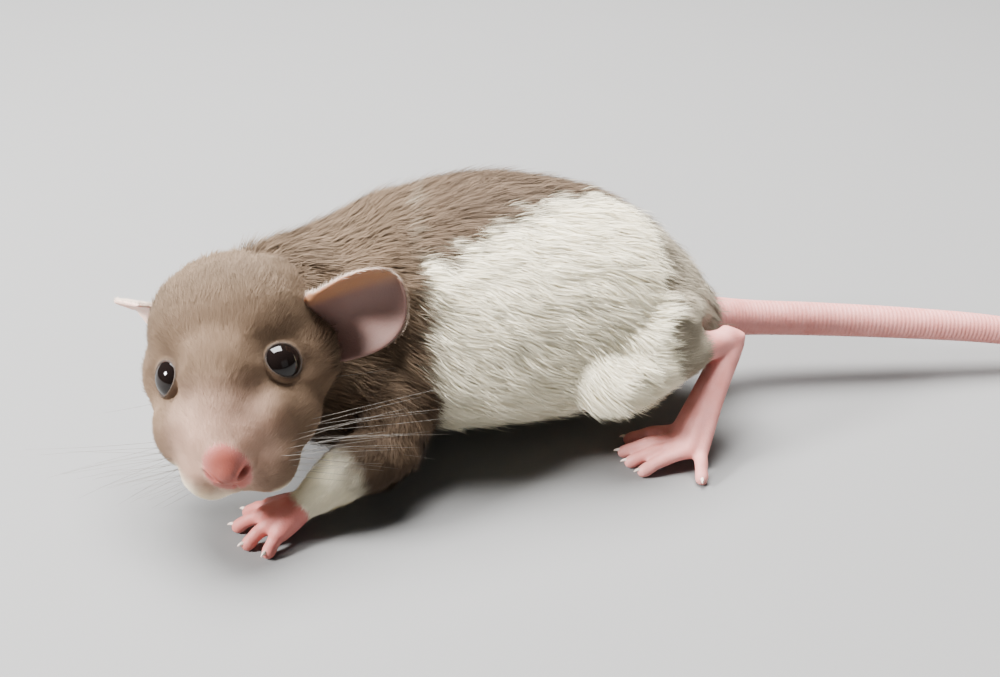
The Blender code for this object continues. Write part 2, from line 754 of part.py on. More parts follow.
def main():
    clear_scene()
    whole = whole_body()
    eyes = [make_eye(1, "left"), make_eye(-1, "right")]
    head = make_head(whole, eyes)
    limbs = make_limbs(whole)
    tail = make_tail()
    trunk_body = kept_side(copy_of(whole, "body"), HEAD_CUT, GAP / 2, False)
    trunk_body = carve(trunk_body, [cell_block(name, GAP) for name in CELLS])
    neck = thinned(swept(kept_side(copy_of(trunk_body, "neck"), NECK_CUT, GAP / 2, True)))
    torso = kept_side(copy_of(trunk_body, "torso"), NECK_CUT, GAP / 2, False)
    root, after = Vector(TAIL[0][:3]), Vector(TAIL[1][:3])
    torso = thinned(swept(kept_side(torso, (root, (root - after).normalized()), GAP, True)))
    ears = [make_ear((head, neck, torso), word) for word in EARS]
    for obj in (whole, trunk_body):
        bpy.data.objects.remove(obj)
    colours = {"head": "hood", "neck": "hood", "torso": "cream"}
    nodes = [head, neck, torso, *ears, *tail, *limbs.values()]
    for obj in nodes:
        word = obj.name.split(".")[0]
        furred = word.startswith(("upper_arm", "forearm", "thigh"))
        finish(obj, colours.get(word, "cream" if furred else "skin"))
    rat = bpy.data.collections.new("rat")
    bpy.context.scene.collection.children.link(rat)
    for obj in [*nodes, *eyes]:
        rat.objects.link(obj)
        bpy.context.scene.collection.objects.unlink(obj)


main()
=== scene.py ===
"""A young hooded rat in its coat: one skin, eyes, claws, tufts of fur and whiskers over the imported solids.

Sizes below are in millimetres in the draft's own axes, where the rat looks toward -X, its left side
faces -Y and the floor is z = 0. The head has its own axes as well: forward, left and up.
"""

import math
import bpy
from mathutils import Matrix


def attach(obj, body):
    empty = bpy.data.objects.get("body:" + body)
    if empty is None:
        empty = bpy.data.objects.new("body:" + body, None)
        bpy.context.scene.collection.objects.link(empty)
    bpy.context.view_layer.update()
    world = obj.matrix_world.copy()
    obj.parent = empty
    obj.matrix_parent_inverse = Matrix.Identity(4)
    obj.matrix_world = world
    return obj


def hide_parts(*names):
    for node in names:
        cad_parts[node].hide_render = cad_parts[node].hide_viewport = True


bl_info = {
    "name": "Young hooded rat",
    "version": (1, 0, 0),
    "blender": (4, 5, 0),
    "location": "3D View > Sidebar > Rat",
    "description": "Dresses the packed solids of a young rat in skin, eyes, claws, fur and whiskers",
    "category": "Add Mesh",
}

import bmesh
import bpy
import numpy as np
from mathutils import Matrix, Vector
from mathutils.bvhtree import BVHTree

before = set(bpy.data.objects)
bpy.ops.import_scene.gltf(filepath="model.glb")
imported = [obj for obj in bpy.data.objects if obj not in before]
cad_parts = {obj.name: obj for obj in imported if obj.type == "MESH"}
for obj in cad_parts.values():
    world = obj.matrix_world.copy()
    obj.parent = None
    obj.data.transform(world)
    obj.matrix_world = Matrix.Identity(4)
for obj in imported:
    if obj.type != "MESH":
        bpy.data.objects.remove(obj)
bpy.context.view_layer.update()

MM = 0.001
SHIFT = np.array((-36.23, -0.97, 0.0))  # puts the middle of the solids' box over the origin
BODY = "root"

# Trunk, from the tail's root to the back of the skull, out to the tips of the coat
TRUNK = (  # x, y, z of the centre line, half width, height over it, depth under it
    (29.4, 15.4, 10.8, 3.2, 3.2, 3.2),
    (24.8, 12.8, 12.6, 7.2, 7.0, 7.4),
    (18.2, 9.8, 15.4, 11.8, 11.6, 11.0),
    (9.5, 7.2, 18.0, 15.0, 15.6, 14.6),
    (-1.5, 5.6, 18.6, 16.6, 17.4, 15.6),
    (-11.0, 4.0, 17.8, 16.0, 16.8, 14.8),
    (-19.0, 2.4, 17.2, 14.0, 15.6, 13.6),
    (-26.0, -1.0, 18.6, 11.4, 12.6, 11.8),
    (-31.0, -6.5, 21.6, 9.0, 9.4, 9.0),
)
TRUNK_SQUARE = 2.5  # how full the lower corners of the body are, 2 being an ellipse
CHEST = ((-20.8, -6.2, 12.2), (7.6, 7.4, 8.2))  # the soft fold between the throat and the shoulder

NAPE = (-29.0, -7.5, 26.0)  # where the neck is smoothed into the head

HEAD_PLACE = np.array((-32.2, -17.6, 21.4))
HEAD_FORWARD = np.array((0.0400, -0.9350, -0.3530))
HEAD_LEFT = np.array((0.9831, -0.0261, 0.1810))
HEAD_FORMS = (  # centre and radii, forward, left and up
    ((-6.6, 0.0, 0.3), (9.4, 10.4, 7.6)),  # brain case
    ((-1.5, 0.0, 0.6), (8.5, 6.4, 5.4)),  # forehead
    ((4.0, 0.0, 0.6), (3.8, 3.8, 3.9)),  # bridge, in three steps
    ((6.4, 0.0, -0.6), (3.6, 3.6, 3.7)),
    ((8.7, 0.0, -1.7), (3.2, 3.1, 3.4)),
    ((5.2, 0.0, -2.6), (8.4, 5.2, 4.3)),  # muzzle
    ((3.4, -6.0, -5.4), (6.0, 4.6, 4.8)),  # right jowl, fuller than the left
    ((8.6, 0.0, -6.2), (4.6, 3.8, 4.2)),  # upper lip
    ((10.8, 0.0, -3.6), (3.4, 3.1, 2.9)),  # end of the snout
    ((12.7, 0.0, -3.7), (1.7, 2.2, 1.8)),  # nose pad
    ((3.5, 0.0, -9.4), (7.4, 3.8, 3.0)),  # lower jaw
    ((-6.0, 0.0, -6.0), (9.0, 8.0, 6.5)),  # throat
)
PAIRED_HEAD_FORMS = (
    ((8.8, 3.4, -6.8), (4.6, 3.8, 4.2)),  # whisker pad
    ((2.8, 5.2, -5.8), (6.2, 4.6, 4.8)),  # jowl
    ((-3.4, 6.8, -4.0), (7.2, 5.4, 5.8)),  # cheek
    ((4.6, 4.4, -2.9), (5.6, 3.4, 3.2)),  # fold from the eye to the pad
)
EYE_PLACE = (0.65, 6.1, -0.3)
EYE_AXIS = (0.45, 0.70, 0.69)
EYE_RADIUS = 2.75
LID_SPREAD = math.radians(53)  # from the middle of the eye to the lids' edge
LID_OPEN = 0.86  # the opening along the head over its height
LID_CREST = 2.90  # the lids' rim, from the middle of the eyeball
LID_LEAST = 2.9  # nothing beyond the rim comes nearer to the middle of the eyeball than this
SOCKET_DEPTH = 0.35  # how far the skin passes under the eyeball's surface
NOSTRIL_PLACE = (13.7, 1.95, -3.8)
MOUTH_HEART = (4.0, 0.0, -7.4)  # a place inside the muzzle that the lips are seen from
MOUTH_WAYS = (  # the left half of the lips' line, from the middle of the front to the corner
    (1.0, 0.0, -0.36),
    (0.90, 0.24, -0.44),
    (0.72, 0.46, -0.54),
    (0.50, 0.64, -0.52),
    (0.26, 0.80, -0.42),
)
CLEFT_WAYS = ((1.0, 0.0, 0.12), (1.0, 0.0, -0.10), (1.0, 0.0, -0.36))  # from the nose down to the lips

EARS = {  # root, way out to the tip, way the cup opens, curl at root and tip in degrees, length, width
    "left": ((-6.96, 10.68, -1.76), (-0.13, 0.92, 0.37), (0.99, 0.12, 0.06), 148, 80, 11.0, 17.2),
    "right": ((-9.00, -8.90, 1.55), (-0.51, -0.51, -0.42), (0.48, -0.94, -0.48), 74, 62, 9.2, 10.8),
}
EAR_ROOT_SHARE = 0.66
EAR_CREASE = 2.4  # how much of the cup's curl is gathered along its middle
EAR_WALL = 0.5
EAR_FRONT = 3.6  # how far the front of the left ear's root is drawn back into the head

LIMBS = {  # joints and the radius of the flesh and coat at each, from the body outward
    "arm_left": (
        ((-16.0, -5.5, 15.0), 6.6),
        ((-13.8, -13.8, 9.0), 4.6),
        ((-19.0, -18.6, 6.8), 3.6),
        ((-24.2, -21.2, 3.8), 2.0),
    ),
    "arm_right": (
        ((-20.5, 10.5, 14.0), 6.6),
        ((-18.0, 16.6, 8.8), 4.6),
        ((-22.4, 14.6, 6.4), 3.6),
        ((-28.0, 11.0, 3.6), 2.0),
    ),
    "leg_left": (
        ((17.5, 2.4, 15.6), 9.4),
        ((13.2, -5.0, 13.0), 5.8),
        ((21.5, -2.6, 13.4), 3.6),
        ((27.2, 0.6, 13.9), 2.2),
        ((31.2, 3.2, 13.7), 2.1),
    ),
    "leg_right": (
        ((15.5, 17.6, 14.8), 9.2),
        ((4.4, 20.6, 11.0), 6.2),
        ((11.6, 23.2, 7.6), 3.5),
        ((17.2, 24.8, 4.5), 2.2),
        ((22.6, 25.6, 1.85), 1.9),
    ),
}
PAWS = {  # the limb it ends, its radii at the wrist, palm and knuckles, knuckles and digit tips
    "hand_left": {
        "limb": "arm_left",
        "radii": (1.95, 1.7, 1.3),
        "digit": 1.05,
        "knuckles": ((-28.4, -19.9, 2.6), (-28.8, -21.8, 2.7), (-28.0, -23.5, 2.5), (-26.4, -24.4, 2.2)),
        "tips": ((-31.4, -18.4), (-32.2, -21.4), (-30.4, -25.0), (-27.7, -26.6)),
    },
    "hand_right": {
        "limb": "arm_right",
        "radii": (1.95, 1.7, 1.3),
        "digit": 1.05,
        "knuckles": ((-32.0, 8.0, 2.5), (-32.8, 9.7, 2.7), (-32.7, 11.5, 2.6), (-31.6, 13.0, 2.2)),
        "tips": ((-34.8, 6.2), (-36.6, 9.2), (-36.4, 12.6), (-33.8, 15.2)),
    },
    "foot_left": {
        "limb": "leg_left",
        "radii": (2.0, 1.3, 1.15),
        "digit": 1.05,
        "knuckles": (
            (23.9, -3.6, 3.5),
            (23.4, -5.2, 3.2),
            (23.9, -6.6, 3.0),
            (24.8, -7.6, 2.9),
            (26.4, -7.4, 2.8),
        ),
        "tips": ((17.6, -1.4), (16.6, -4.6), (17.3, -7.0), (18.8, -9.2), (26.2, -11.0)),
    },
    "foot_right": {
        "limb": "leg_right",
        "radii": (2.0, 1.3, 1.15),
        "digit": 1.05,
        "knuckles": (
            (11.0, 22.2, 1.0),
            (8.2, 22.6, 1.0),
            (7.8, 24.2, 1.0),
            (8.2, 25.8, 1.0),
            (10.8, 27.2, 1.0),
        ),
        "tips": ((4.8, 19.2), (-0.2, 21.0), (-1.2, 24.2), (0.0, 27.6), (5.2, 30.6)),
    },
}
TIP_HEIGHT = 0.78
CLAW_LENGTH = 1.0

TAIL = (
    (24.0, 12.6, 12.4, 3.4),
    (28.0, 14.5, 11.4, 3.3),
    (31.5, 15.9, 10.7, 2.85),
    (37.0, 17.6, 9.7, 2.56),
    (46.0, 18.5, 9.0, 2.46),
    (60.0, 19.3, 7.9, 2.31),
    (73.0, 20.2, 6.4, 2.11),
    (86.0, 20.6, 4.2, 1.81),
    (98.0, 18.6, 2.3, 1.48),
    (109.0, 13.5, 1.14, 1.15),
    (117.0, 6.5, 0.80, 0.82),
    (120.6, 1.0, 0.52, 0.50),
)

# How the coat lies: place, way the hair points, length. Rows of the head are in its own axes.
HEAD_COMB = (
    ((12.0, 0.0, -2.6), (-1.0, 0.0, 0.5), 0.6),
    ((9.0, 0.0, -0.6), (-1.0, 0.0, 0.2), 0.9),
    ((5.5, 0.0, 1.6), (-1.0, 0.0, 0.2), 1.3),
    ((0.5, 0.0, 5.6), (-1.0, 0.0, 0.1), 1.6),
    ((-6.0, 0.0, 7.8), (-1.0, 0.0, -0.1), 2.1),
    ((-13.0, 0.0, 5.0), (-0.9, 0.0, -0.5), 3.0),
    ((12.4, 0.0, -8.0), (-0.5, 0.0, -0.8), 0.5),
    ((7.5, 0.0, -12.0), (-0.9, 0.0, -0.4), 1.0),
    ((0.0, 0.0, -12.5), (-1.0, 0.0, -0.1), 2.2),
    ((-8.0, 0.0, -12.0), (-1.0, 0.0, 0.0), 3.2),
)
PAIRED_HEAD_COMB = (
    ((11.5, 3.6, -6.2), (-0.8, 0.5, 0.0), 0.6),
    ((9.0, 6.2, -7.6), (-1.0, 0.3, -0.2), 0.9),
    ((6.0, 4.6, -1.6), (-1.0, 0.3, 0.2), 1.1),
    ((10.5, 3.2, -9.6), (-0.7, 0.5, -0.5), 0.7),
    ((3.0, 8.0, -6.5), (-1.0, 0.25, -0.25), 1.7),
    ((-2.5, 11.0, -5.5), (-0.9, 0.2, -0.4), 2.6),
    ((1.8, 4.2, 3.4), (-1.0, 0.2, 0.2), 1.4),
    ((3.6, 6.6, -1.4), (-1.0, 0.5, 0.0), 1.1),
    ((-3.0, 8.4, 2.8), (-1.0, 0.1, 0.1), 1.6),
    ((-9.0, 8.0, 5.0), (-1.0, 0.0, -0.1), 2.3),
    ((-4.0, 7.0, -10.5), (-1.0, 0.1, -0.1), 3.0),
    ((2.0, 4.0, -11.0), (-1.0, 0.15, -0.2), 2.0),
)
TRUNK_COMB = (  # angle round the body from the top, way (along, down the side), length
    (0, (1.0, 0.10), 4.6),
    (55, (1.0, 0.40), 4.8),
    (100, (1.0, 0.55), 4.8),
    (145, (1.0, 0.25), 4.4),
    (180, (1.0, 0.0), 3.8),
)
LIMB_COMB = {"arm": (3.6, 3.0, 1.7, 0.8), "leg": (4.4, 4.0, 2.4, 0.8, 0.4)}  # hair length at each joint
COAT_RISE = 0.22  # how far the tips stand over the skin, as a share of the hair's length
STRAY_RISE = 0.9  # how much more a few stray tufts stand out
SHORT_HAIR = 1.9  # hair shorter than about this is a single flat face
PATCH_SIZE = 0.003  # of a tuft on the map that it shares with the skin
BAND_FACES = 180000  # the most that one piece of the coat should hold

# Where the grey-brown of the back ends on each side: place along the body, angle from its top
STRIPE_PLACE = (-19.0, -14.0, -6.0, -1.0, 4.0, 8.0, 13.0, 17.5, 21.0, 28.0)
STRIPE_LEFT = (60.0, 48.0, 40.0, 31.0, 20.0, 9.0, -1.0, 3.0, 80.0, 130.0)
STRIPE_RIGHT = (60.0, 46.0, 38.0, 33.0, 30.0, 27.0, 22.0, 22.0, 80.0, 130.0)
HOOD_EDGE = -10.4  # the roots of the hood end here on the flank, and farther forward high up

# Places on the head that have a colour of their own: centre and radii in the head's axes
LIP_FORM = ((10.5, -4.6, -8.8), (5.0, 4.6, 3.6))  # white right lip
BLUSH_FORM = ((10.0, -0.6, -3.0), (9.4, 8.0, 7.6))
NOSE_FORM = ((12.6, 0.0, -3.5), (4.9, 3.9, 5.2))
NOSTRIL_RADII = (1.2, 0.8, 0.7)
THROAT_HEIGHT = (-13.6, -12.6)  # what lies lower in the head's axes is chest or arm
CHIN_HEIGHT = -8.6
HEEL = (31.0, 2.6, 13.4)  # of the left foot, where the fur ends

WHISKER_ROWS, WHISKER_COLUMNS = 5, 6  # on each pad
WHISKER_RADIUS = 0.015  # at the root, over the tip's own

CAMERA_PLACE = (0, -155, 98)
CAMERA_TURN = 62  # degrees up from looking straight down
CAMERA_LENS = 47.88  # on a sensor 36 wide
LIT_PLACE = (-0.02, -0.01, 0.018)  # where the lights point, in metres


def unit(vector):
    vector = np.asarray(vector, float)
    return vector / np.linalg.norm(vector, axis=-1, keepdims=True)


HEAD_AXES = np.array(
    (unit(HEAD_FORWARD), unit(HEAD_LEFT), unit(np.cross(unit(HEAD_FORWARD), unit(HEAD_LEFT))))
)


def in_metres(points):
    return (np.asarray(points, float) + SHIFT) * MM


def head_spot(place):
    """A draft place from one in the head's own axes."""
    return HEAD_PLACE + np.asarray(place, float) @ HEAD_AXES


def in_head(points):
    """Draft places in the head's own axes."""
    return (points - HEAD_PLACE) @ HEAD_AXES.T


def mirrored(triple, side):
    return np.array((triple[0], triple[1] * side, triple[2]))


def ramp(values, low, high):
    """0 below low, 1 above high, and a smooth rise between them."""
    t = np.clip((values - low) / (high - low), 0, 1)
    return t * t * (3 - 2 * t)


def spline(rows, count):
    """Rows evenly counted along a smooth curve through the given ones."""
    rows = np.array(rows, float)
    padded = np.vstack((rows[0] * 2 - rows[1], rows, rows[-1] * 2 - rows[-2]))
    place = np.linspace(0, len(rows) - 1, count)
    k = np.minimum(place.astype(int), len(rows) - 2)
    t = (place - k)[:, None]
    a, b, c, d = (padded[k + n] for n in range(4))
    return 0.5 * (2 * b + (c - a) * t + (2 * a - 5 * b + 4 * c - d) * t**2 + (3 * b - a - 3 * c + d) * t**3)


def waves(points, size, seed):
    """Smooth values near -1 to 1 that wander over about this many millimetres."""
    rng = np.random.default_rng(seed)
    total = np.zeros(len(points))
    for _ in range(7):
        way = unit(rng.normal(size=3)) * math.tau / size * rng.uniform(0.6, 1.5)
        total += np.sin(points @ way + rng.uniform(0, math.tau))
    return total / 2.6


def new_object(name, work):
    """An object from a bmesh, with its faces turned outwards."""
    bmesh.ops.recalc_face_normals(work, faces=work.faces)
    mesh = bpy.data.meshes.new(name)
    work.to_mesh(mesh)
    work.free()
    obj = bpy.data.objects.new(name, mesh)
    bpy.context.scene.collection.objects.link(obj)
    return obj


def made_plain(obj):
    """Turns the object's modifiers into its mesh."""
    bpy.context.view_layer.update()
    graph = bpy.context.evaluated_depsgraph_get()
    mesh = bpy.data.meshes.new_from_object(obj.evaluated_get(graph))
    obj.modifiers.clear()
    obj.data = mesh
    return obj


def points_of(mesh):
    """The mesh's points in draft millimetres."""
    co = np.empty(len(mesh.vertices) * 3, np.float32)
    mesh.vertices.foreach_get("co", co)
    return co.reshape(-1, 3).astype(float) / MM - SHIFT


def normals_of(mesh):
    normals = np.empty(len(mesh.vertices) * 3, np.float32)
    mesh.vertices.foreach_get("normal", normals)
    return normals.reshape(-1, 3).astype(float)


def put_points(mesh, points):
    mesh.vertices.foreach_set("co", in_metres(points).astype(np.float32).ravel())
    mesh.update()


def edges_of(mesh):
    pairs = np.empty(len(mesh.edges) * 2, np.int32)
    mesh.edges.foreach_get("vertices", pairs)
    return pairs.reshape(-1, 2)


def eased(values, pairs, rounds, share=None, strength=0.5):
    """Values at the points, drawn toward the mean of their neighbours, where share allows it."""
    values = np.array(values, float)
    flat = values.ndim == 1
    values = values.reshape(len(values), -1)
    count = np.bincount(pairs.ravel(), minlength=len(values))[:, None]
    pull = strength if share is None else strength * share[:, None]
    for _ in range(rounds):
        total = np.empty_like(values)
        for k in range(values.shape[1]):
            total[:, k] = np.bincount(pairs[:, 0], values[pairs[:, 1], k], len(values))
            total[:, k] += np.bincount(pairs[:, 1], values[pairs[:, 0], k], len(values))
        values += (total / np.maximum(count, 1) - values) * pull
    return values[:, 0] if flat else values


def set_field(mesh, name, values):
    """Stores values at the mesh's points under a name."""
    values = np.asarray(values, np.float32)
    kind, key = ("FLOAT", "value") if values.ndim == 1 else ("FLOAT_VECTOR", "vector")
    field = mesh.attributes.get(name) or mesh.attributes.new(name, kind, "POINT")
    field.data.foreach_set(key, values.ravel())


def tree_of(mesh):
    return BVHTree.FromPolygons([v.co for v in mesh.vertices], [p.vertices for p in mesh.polygons])


def add_ball(work, centre, radii, ways):
    sides = [way * radius * MM for way, radius in zip(ways, radii)]
    frame = Matrix(np.column_stack(sides).tolist()).to_4x4()
    frame.translation = in_metres(centre)
    bmesh.ops.create_uvsphere(work, u_segments=32, v_segments=18, radius=1, matrix=frame)


def ways_across(points):
    """Two unit ways across a path at each of its points, carried along it without a twist."""
    along = unit(np.gradient(points, axis=0))
    side = unit(np.cross(along[0], (0.31, 0.17, 0.93)))
    sides = []
    for way in along:
        side = unit(side - way * (side @ way))
        sides.append(side)
    return np.array(sides), np.cross(along, sides)


def add_tube(work, rows, sides=16):
    """A closed round tube through rows of x, y, z and radius."""
    rows = np.array(rows, float)
    one, other = ways_across(rows[:, :3])
    angle = np.arange(sides) * math.tau / sides
    across = one[:, None] * np.cos(angle)[None, :, None] + other[:, None] * np.sin(angle)[None, :, None]
    places = in_metres(rows[:, None, :3] + rows[:, None, 3:] * across)
    rings = [[work.verts.new(place) for place in ring] for ring in places]
    for low, high in zip(rings, rings[1:]):
        for k in range(sides):
            n = (k + 1) % sides
            work.faces.new((low[k], low[n], high[n], high[k]))
    work.faces.new(rings[0][::-1])
    work.faces.new(rings[-1])


def rounded(rows):
    """The rows of a tube with a dome added at both ends."""
    rows = np.array(rows, float)
    ends = []
    for end, inner in ((rows[0], rows[1]), (rows[-1], rows[-2])):
        out = unit(end[:3] - inner[:3])
        shares = ((0.92, 0.39), (0.72, 0.69), (0.4, 0.92), (0.12, 0.99))
        ends.append([[*(end[:3] + out * end[3] * reach), end[3] * share] for share, reach in shares])
    return np.vstack((ends[0][::-1], rows, ends[1]))


def add_trunk(work):
    """The body as rings round its centre line, a little flat below."""
    rows = spline(TRUNK, 48)
    along = unit(np.gradient(rows[:, :3], axis=0))
    angle = np.arange(40) * math.tau / 40
    rings = []
    for row, way in zip(rows, along):
        side = unit(np.cross(way, (0, 0, 1)))
        up = np.cross(side, way)
        bend = np.where(np.sin(angle) < 0, 2 / TRUNK_SQUARE, 1)
        across = np.sign(np.cos(angle)) * np.abs(np.cos(angle)) ** bend
        rise = np.sign(np.sin(angle)) * np.abs(np.sin(angle)) ** bend
        high = np.where(np.sin(angle) < 0, row[5], row[4])
        places = row[:3] + side * (row[3] * across)[:, None] + up * (high * rise)[:, None]
        rings.append([work.verts.new(place) for place in in_metres(places)])
    for low, high in zip(rings, rings[1:]):
        for k in range(len(low)):
            n = (k + 1) % len(low)
            work.faces.new((low[k], low[n], high[n], high[k]))
    work.faces.new(rings[0][::-1])
    work.faces.new(rings[-1])


def voxel_skin(name, work, voxel, rounds):
    """One even skin round all that the bmesh holds, then eased."""
    obj = new_object(name, work)
    remesh = obj.modifiers.new("blend", "REMESH")
    remesh.mode = "VOXEL"
    remesh.voxel_size = voxel * MM
    remesh.adaptivity = 0
    made_plain(obj)
    points = eased(points_of(obj.data), edges_of(obj.data), rounds)
    put_points(obj.data, points)
    return obj


def body_form(voxel):
    """Trunk, head and limbs as one smooth form, out to the tips of the coat."""
    work = bmesh.new()
    add_trunk(work)
    add_ball(work, *CHEST, np.eye(3))
    for centre, radii in HEAD_FORMS:
        add_ball(work, head_spot(centre), radii, HEAD_AXES)
    for centre, radii in PAIRED_HEAD_FORMS:
        for side in (1, -1):
            add_ball(work, head_spot(mirrored(centre, side)), radii, HEAD_AXES)
    for joints in LIMBS.values():
        rows = spline([(*centre, radius) for centre, radius in joints], 5 * len(joints))
        add_tube(work, rounded(rows), 20)
    skin = voxel_skin("skin", work, voxel, round(3.5 / voxel**2))
    points = points_of(skin.data)
    nape = 1 - ramp(np.linalg.norm((points - NAPE) / (9, 10, 9), axis=1), 0.5, 1.0)
    put_points(skin.data, eased(points, edges_of(skin.data), 90, nape))
    return skin


def digit_rows(knuckle, tip, radius):
    """The path of one finger or toe, with its knuckles and the pad at its end."""
    knuckle, tip = np.array(knuckle, float), np.array((*tip, TIP_HEIGHT))
    middle = knuckle + (tip - knuckle) * 0.55
    middle[2] = max(knuckle[2] * 0.62 + tip[2] * 0.38, radius * 1.3)
    near = knuckle + (knuckle - middle) * 0.4
    rows = spline(
        [(*near, radius * 0.95), (*knuckle, radius), (*middle, radius * 0.92), (*tip, radius * 0.86)], 19
    )
    place = np.linspace(0, 1, 19)
    joints = np.exp(-(((place - 0.36) / 0.07) ** 2)) + np.exp(-(((place - 0.66) / 0.07) ** 2))
    rows[:, 3] *= 0.90 + 0.09 * joints + 0.16 * np.exp(-(((place - 0.95) / 0.09) ** 2))
    return rows


def paw_form(name, voxel):
    """A hand or foot with its digits, bare to the skin."""
    plan = PAWS[name]
    joints = LIMBS[plan["limb"]]
    begin = np.array(joints[-1][0])
    back = unit(np.array(joints[-2][0]) - begin)
    work = bmesh.new()
    for knuckle, tip in zip(plan["knuckles"], plan["tips"]):
        knuckle = np.array(knuckle)
        wide, palm, thin = plan["radii"]
        middle = begin + (knuckle - begin) * 0.5
        behind = begin + back * 1.6
        rows = [(*behind, wide * 0.86), (*begin, wide * 0.95), (*middle, palm), (*knuckle, thin)]
        add_tube(work, rounded(spline(rows, 12)), 14)
        add_tube(work, rounded(digit_rows(knuckle, tip, plan["digit"])), 12)
    return voxel_skin(name, work, voxel, 7)


def tail_form():
    work = bmesh.new()
    add_tube(work, rounded(spline(TAIL, 220)), 24)
    return new_object("tail", work)


def ear_form(word):
    """A thin cup with a rounded rim: each row an arc that opens the way the ear faces."""
    rows, columns = 28, 41
    root, out, face, root_curl, tip_curl, long, wide = EARS[word]
    root = head_spot(root)
    out = unit(np.array(out) @ HEAD_AXES)
    face = np.array(face) @ HEAD_AXES
    face = unit(face - out * (face @ out))
    across = np.cross(out, face)
    place = np.linspace(-1, 1, columns)
    turn = 0.35 * place + 0.65 * np.tanh(EAR_CREASE * place) / math.tanh(EAR_CREASE)
    work = bmesh.new()
    grid = []
    for i in range(rows):
        t = math.sin(i / (rows - 1) * math.pi / 2)
        width = wide * (EAR_ROOT_SHARE + (1 - EAR_ROOT_SHARE) * math.sin(t * math.pi / 2))
        width = max(width * math.sqrt(1 - t**3.2), 0.14 * wide)
        bend = min(math.radians(root_curl * (1 - t) + tip_curl * t), width * 0.8) / 2 * turn
        step = width / (columns - 1)
        side, reach = np.cumsum(np.cos(bend)) * step, np.cumsum(np.sin(bend)) * step
        side, reach = side - side[columns // 2], reach - reach[columns // 2]
        places = root + out * long * (t * 1.2 - 0.2) + across * side[:, None] + face * reach[:, None]
        front = np.clip(-place, 0, 1)[:, None] ** 2 * (1 - t) ** 2
        places += (out - across * 0.3 - face) * front * EAR_FRONT * (word == "left")
        grid.append([work.verts.new(spot) for spot in in_metres(places)])
    for low, high in zip(grid, grid[1:]):
        for j in range(columns - 1):
            work.faces.new((low[j], low[j + 1], high[j + 1], high[j]))
    ear = new_object("ear_" + word, work)
    wall = ear.modifiers.new("wall", "SOLIDIFY")
    wall.thickness = EAR_WALL * MM
    wall.offset = 0
    wall.use_even_offset = True
    made_plain(ear)
    points = eased(points_of(ear.data), edges_of(ear.data), 3)
    put_points(ear.data, points)
    work = bmesh.new()
    work.from_mesh(ear.data)
    bmesh.ops.recalc_face_normals(work, faces=work.faces)
    work.to_mesh(ear.data)
    work.free()
    return ear


def coat_guides():
    """Places over the whole body with the way and length of the hair there."""
    places, ways, lengths = [], [], []
    for place, way, length in HEAD_COMB:
        places.append(head_spot(place))
        ways.append(np.array(way) @ HEAD_AXES)
        lengths.append(length)
    for place, way, length in PAIRED_HEAD_COMB:
        for side in (1, -1):
            places.append(head_spot(mirrored(place, side)))
            ways.append(mirrored(way, side) @ HEAD_AXES)
            lengths.append(length)
    for row in spline(TRUNK[:-1], 12):
        for angle, way, length in TRUNK_COMB:
            for side in (1, -1):
                turn = math.radians(angle)
                high = row[4] if angle < 90 else row[5]
                places.append(row[:3] + (0, -side * row[3] * math.sin(turn), high * math.cos(turn)))
                ways.append(np.array((way[0], -0.15 * side * way[1] + 0.12, -way[1])))
                lengths.append(length)
    for name, joints in LIMBS.items():
        spots = np.array([joint[0] for joint in joints])
        along = np.gradient(spots, axis=0)
        for k in range(1, len(joints)):
            for lift in (0.7, -0.7):
                places.append(spots[k] + (0, 0, lift * joints[k][1]))
                ways.append(unit(along[k]) + (0.25, 0, -0.2))
                lengths.append(LIMB_COMB[name[:3]][k])
    return np.array(places), unit(np.array(ways)), np.array(lengths)


def combed(points):
    """Way and length of the hair at each point, blended from the guides nearest it."""
    places, ways, lengths = coat_guides()
    way, length = np.empty_like(points), np.empty(len(points))
    for start in range(0, len(points), 20000):
        part = slice(start, start + 20000)
        near = ((points[part, None] - places[None]) ** 2).sum(axis=2)
        weight = 1 / (near + 3.0) ** 3
        weight /= weight.sum(axis=1, keepdims=True)
        way[part] = weight @ ways
        length[part] = weight @ lengths
    return unit(way), length


def reached_from(points, other, reach):
    """True at the points that lie on the surface of another form."""
    low, high = points_of(other).min(0) - reach, points_of(other).max(0) + reach
    near = np.where(((points > low) & (points < high)).all(axis=1))[0]
    tree = tree_of(other)
    found = np.zeros(len(points), bool)
    places = in_metres(points)
    for k in near:
        hit = tree.find_nearest(Vector(places[k]), reach * MM)
        found[k] = hit[0] is not None
    return found


def joined(skin, form):
    """The skin with another form fused into it."""
    union = skin.modifiers.new("fuse", "BOOLEAN")
    union.operation = "UNION"
    union.solver = "MANIFOLD"
    union.object = form
    return made_plain(skin)


def finer(obj, wanted):
    """Parts the faces that a test picks, by their middles in draft millimetres."""
    work = bmesh.new()
    work.from_mesh(obj.data)
    bmesh.ops.triangulate(work, faces=work.faces)
    middles = np.array([face.calc_center_median() for face in work.faces]) / MM - SHIFT
    picked = wanted(middles)
    work.faces.ensure_lookup_table()
    edges = {edge for k in np.where(picked)[0] for edge in work.faces[k].edges}
    bmesh.ops.subdivide_edges(work, edges=list(edges), cuts=1, use_grid_fill=True)
    bmesh.ops.triangulate(work, faces=[face for face in work.faces if len(face.verts) > 3])
    work.to_mesh(obj.data)
    work.free()


def eye_frame(side):
    """Middle of an eyeball, the way it looks, and the length and height of its opening, in head axes."""
    centre = mirrored(EYE_PLACE, side)
    way = unit(mirrored(EYE_AXIS, side))
    along = unit(np.array((1.0, 0.0, 0.0)) - way * way[0])
    return centre, way, along, np.cross(way, along)


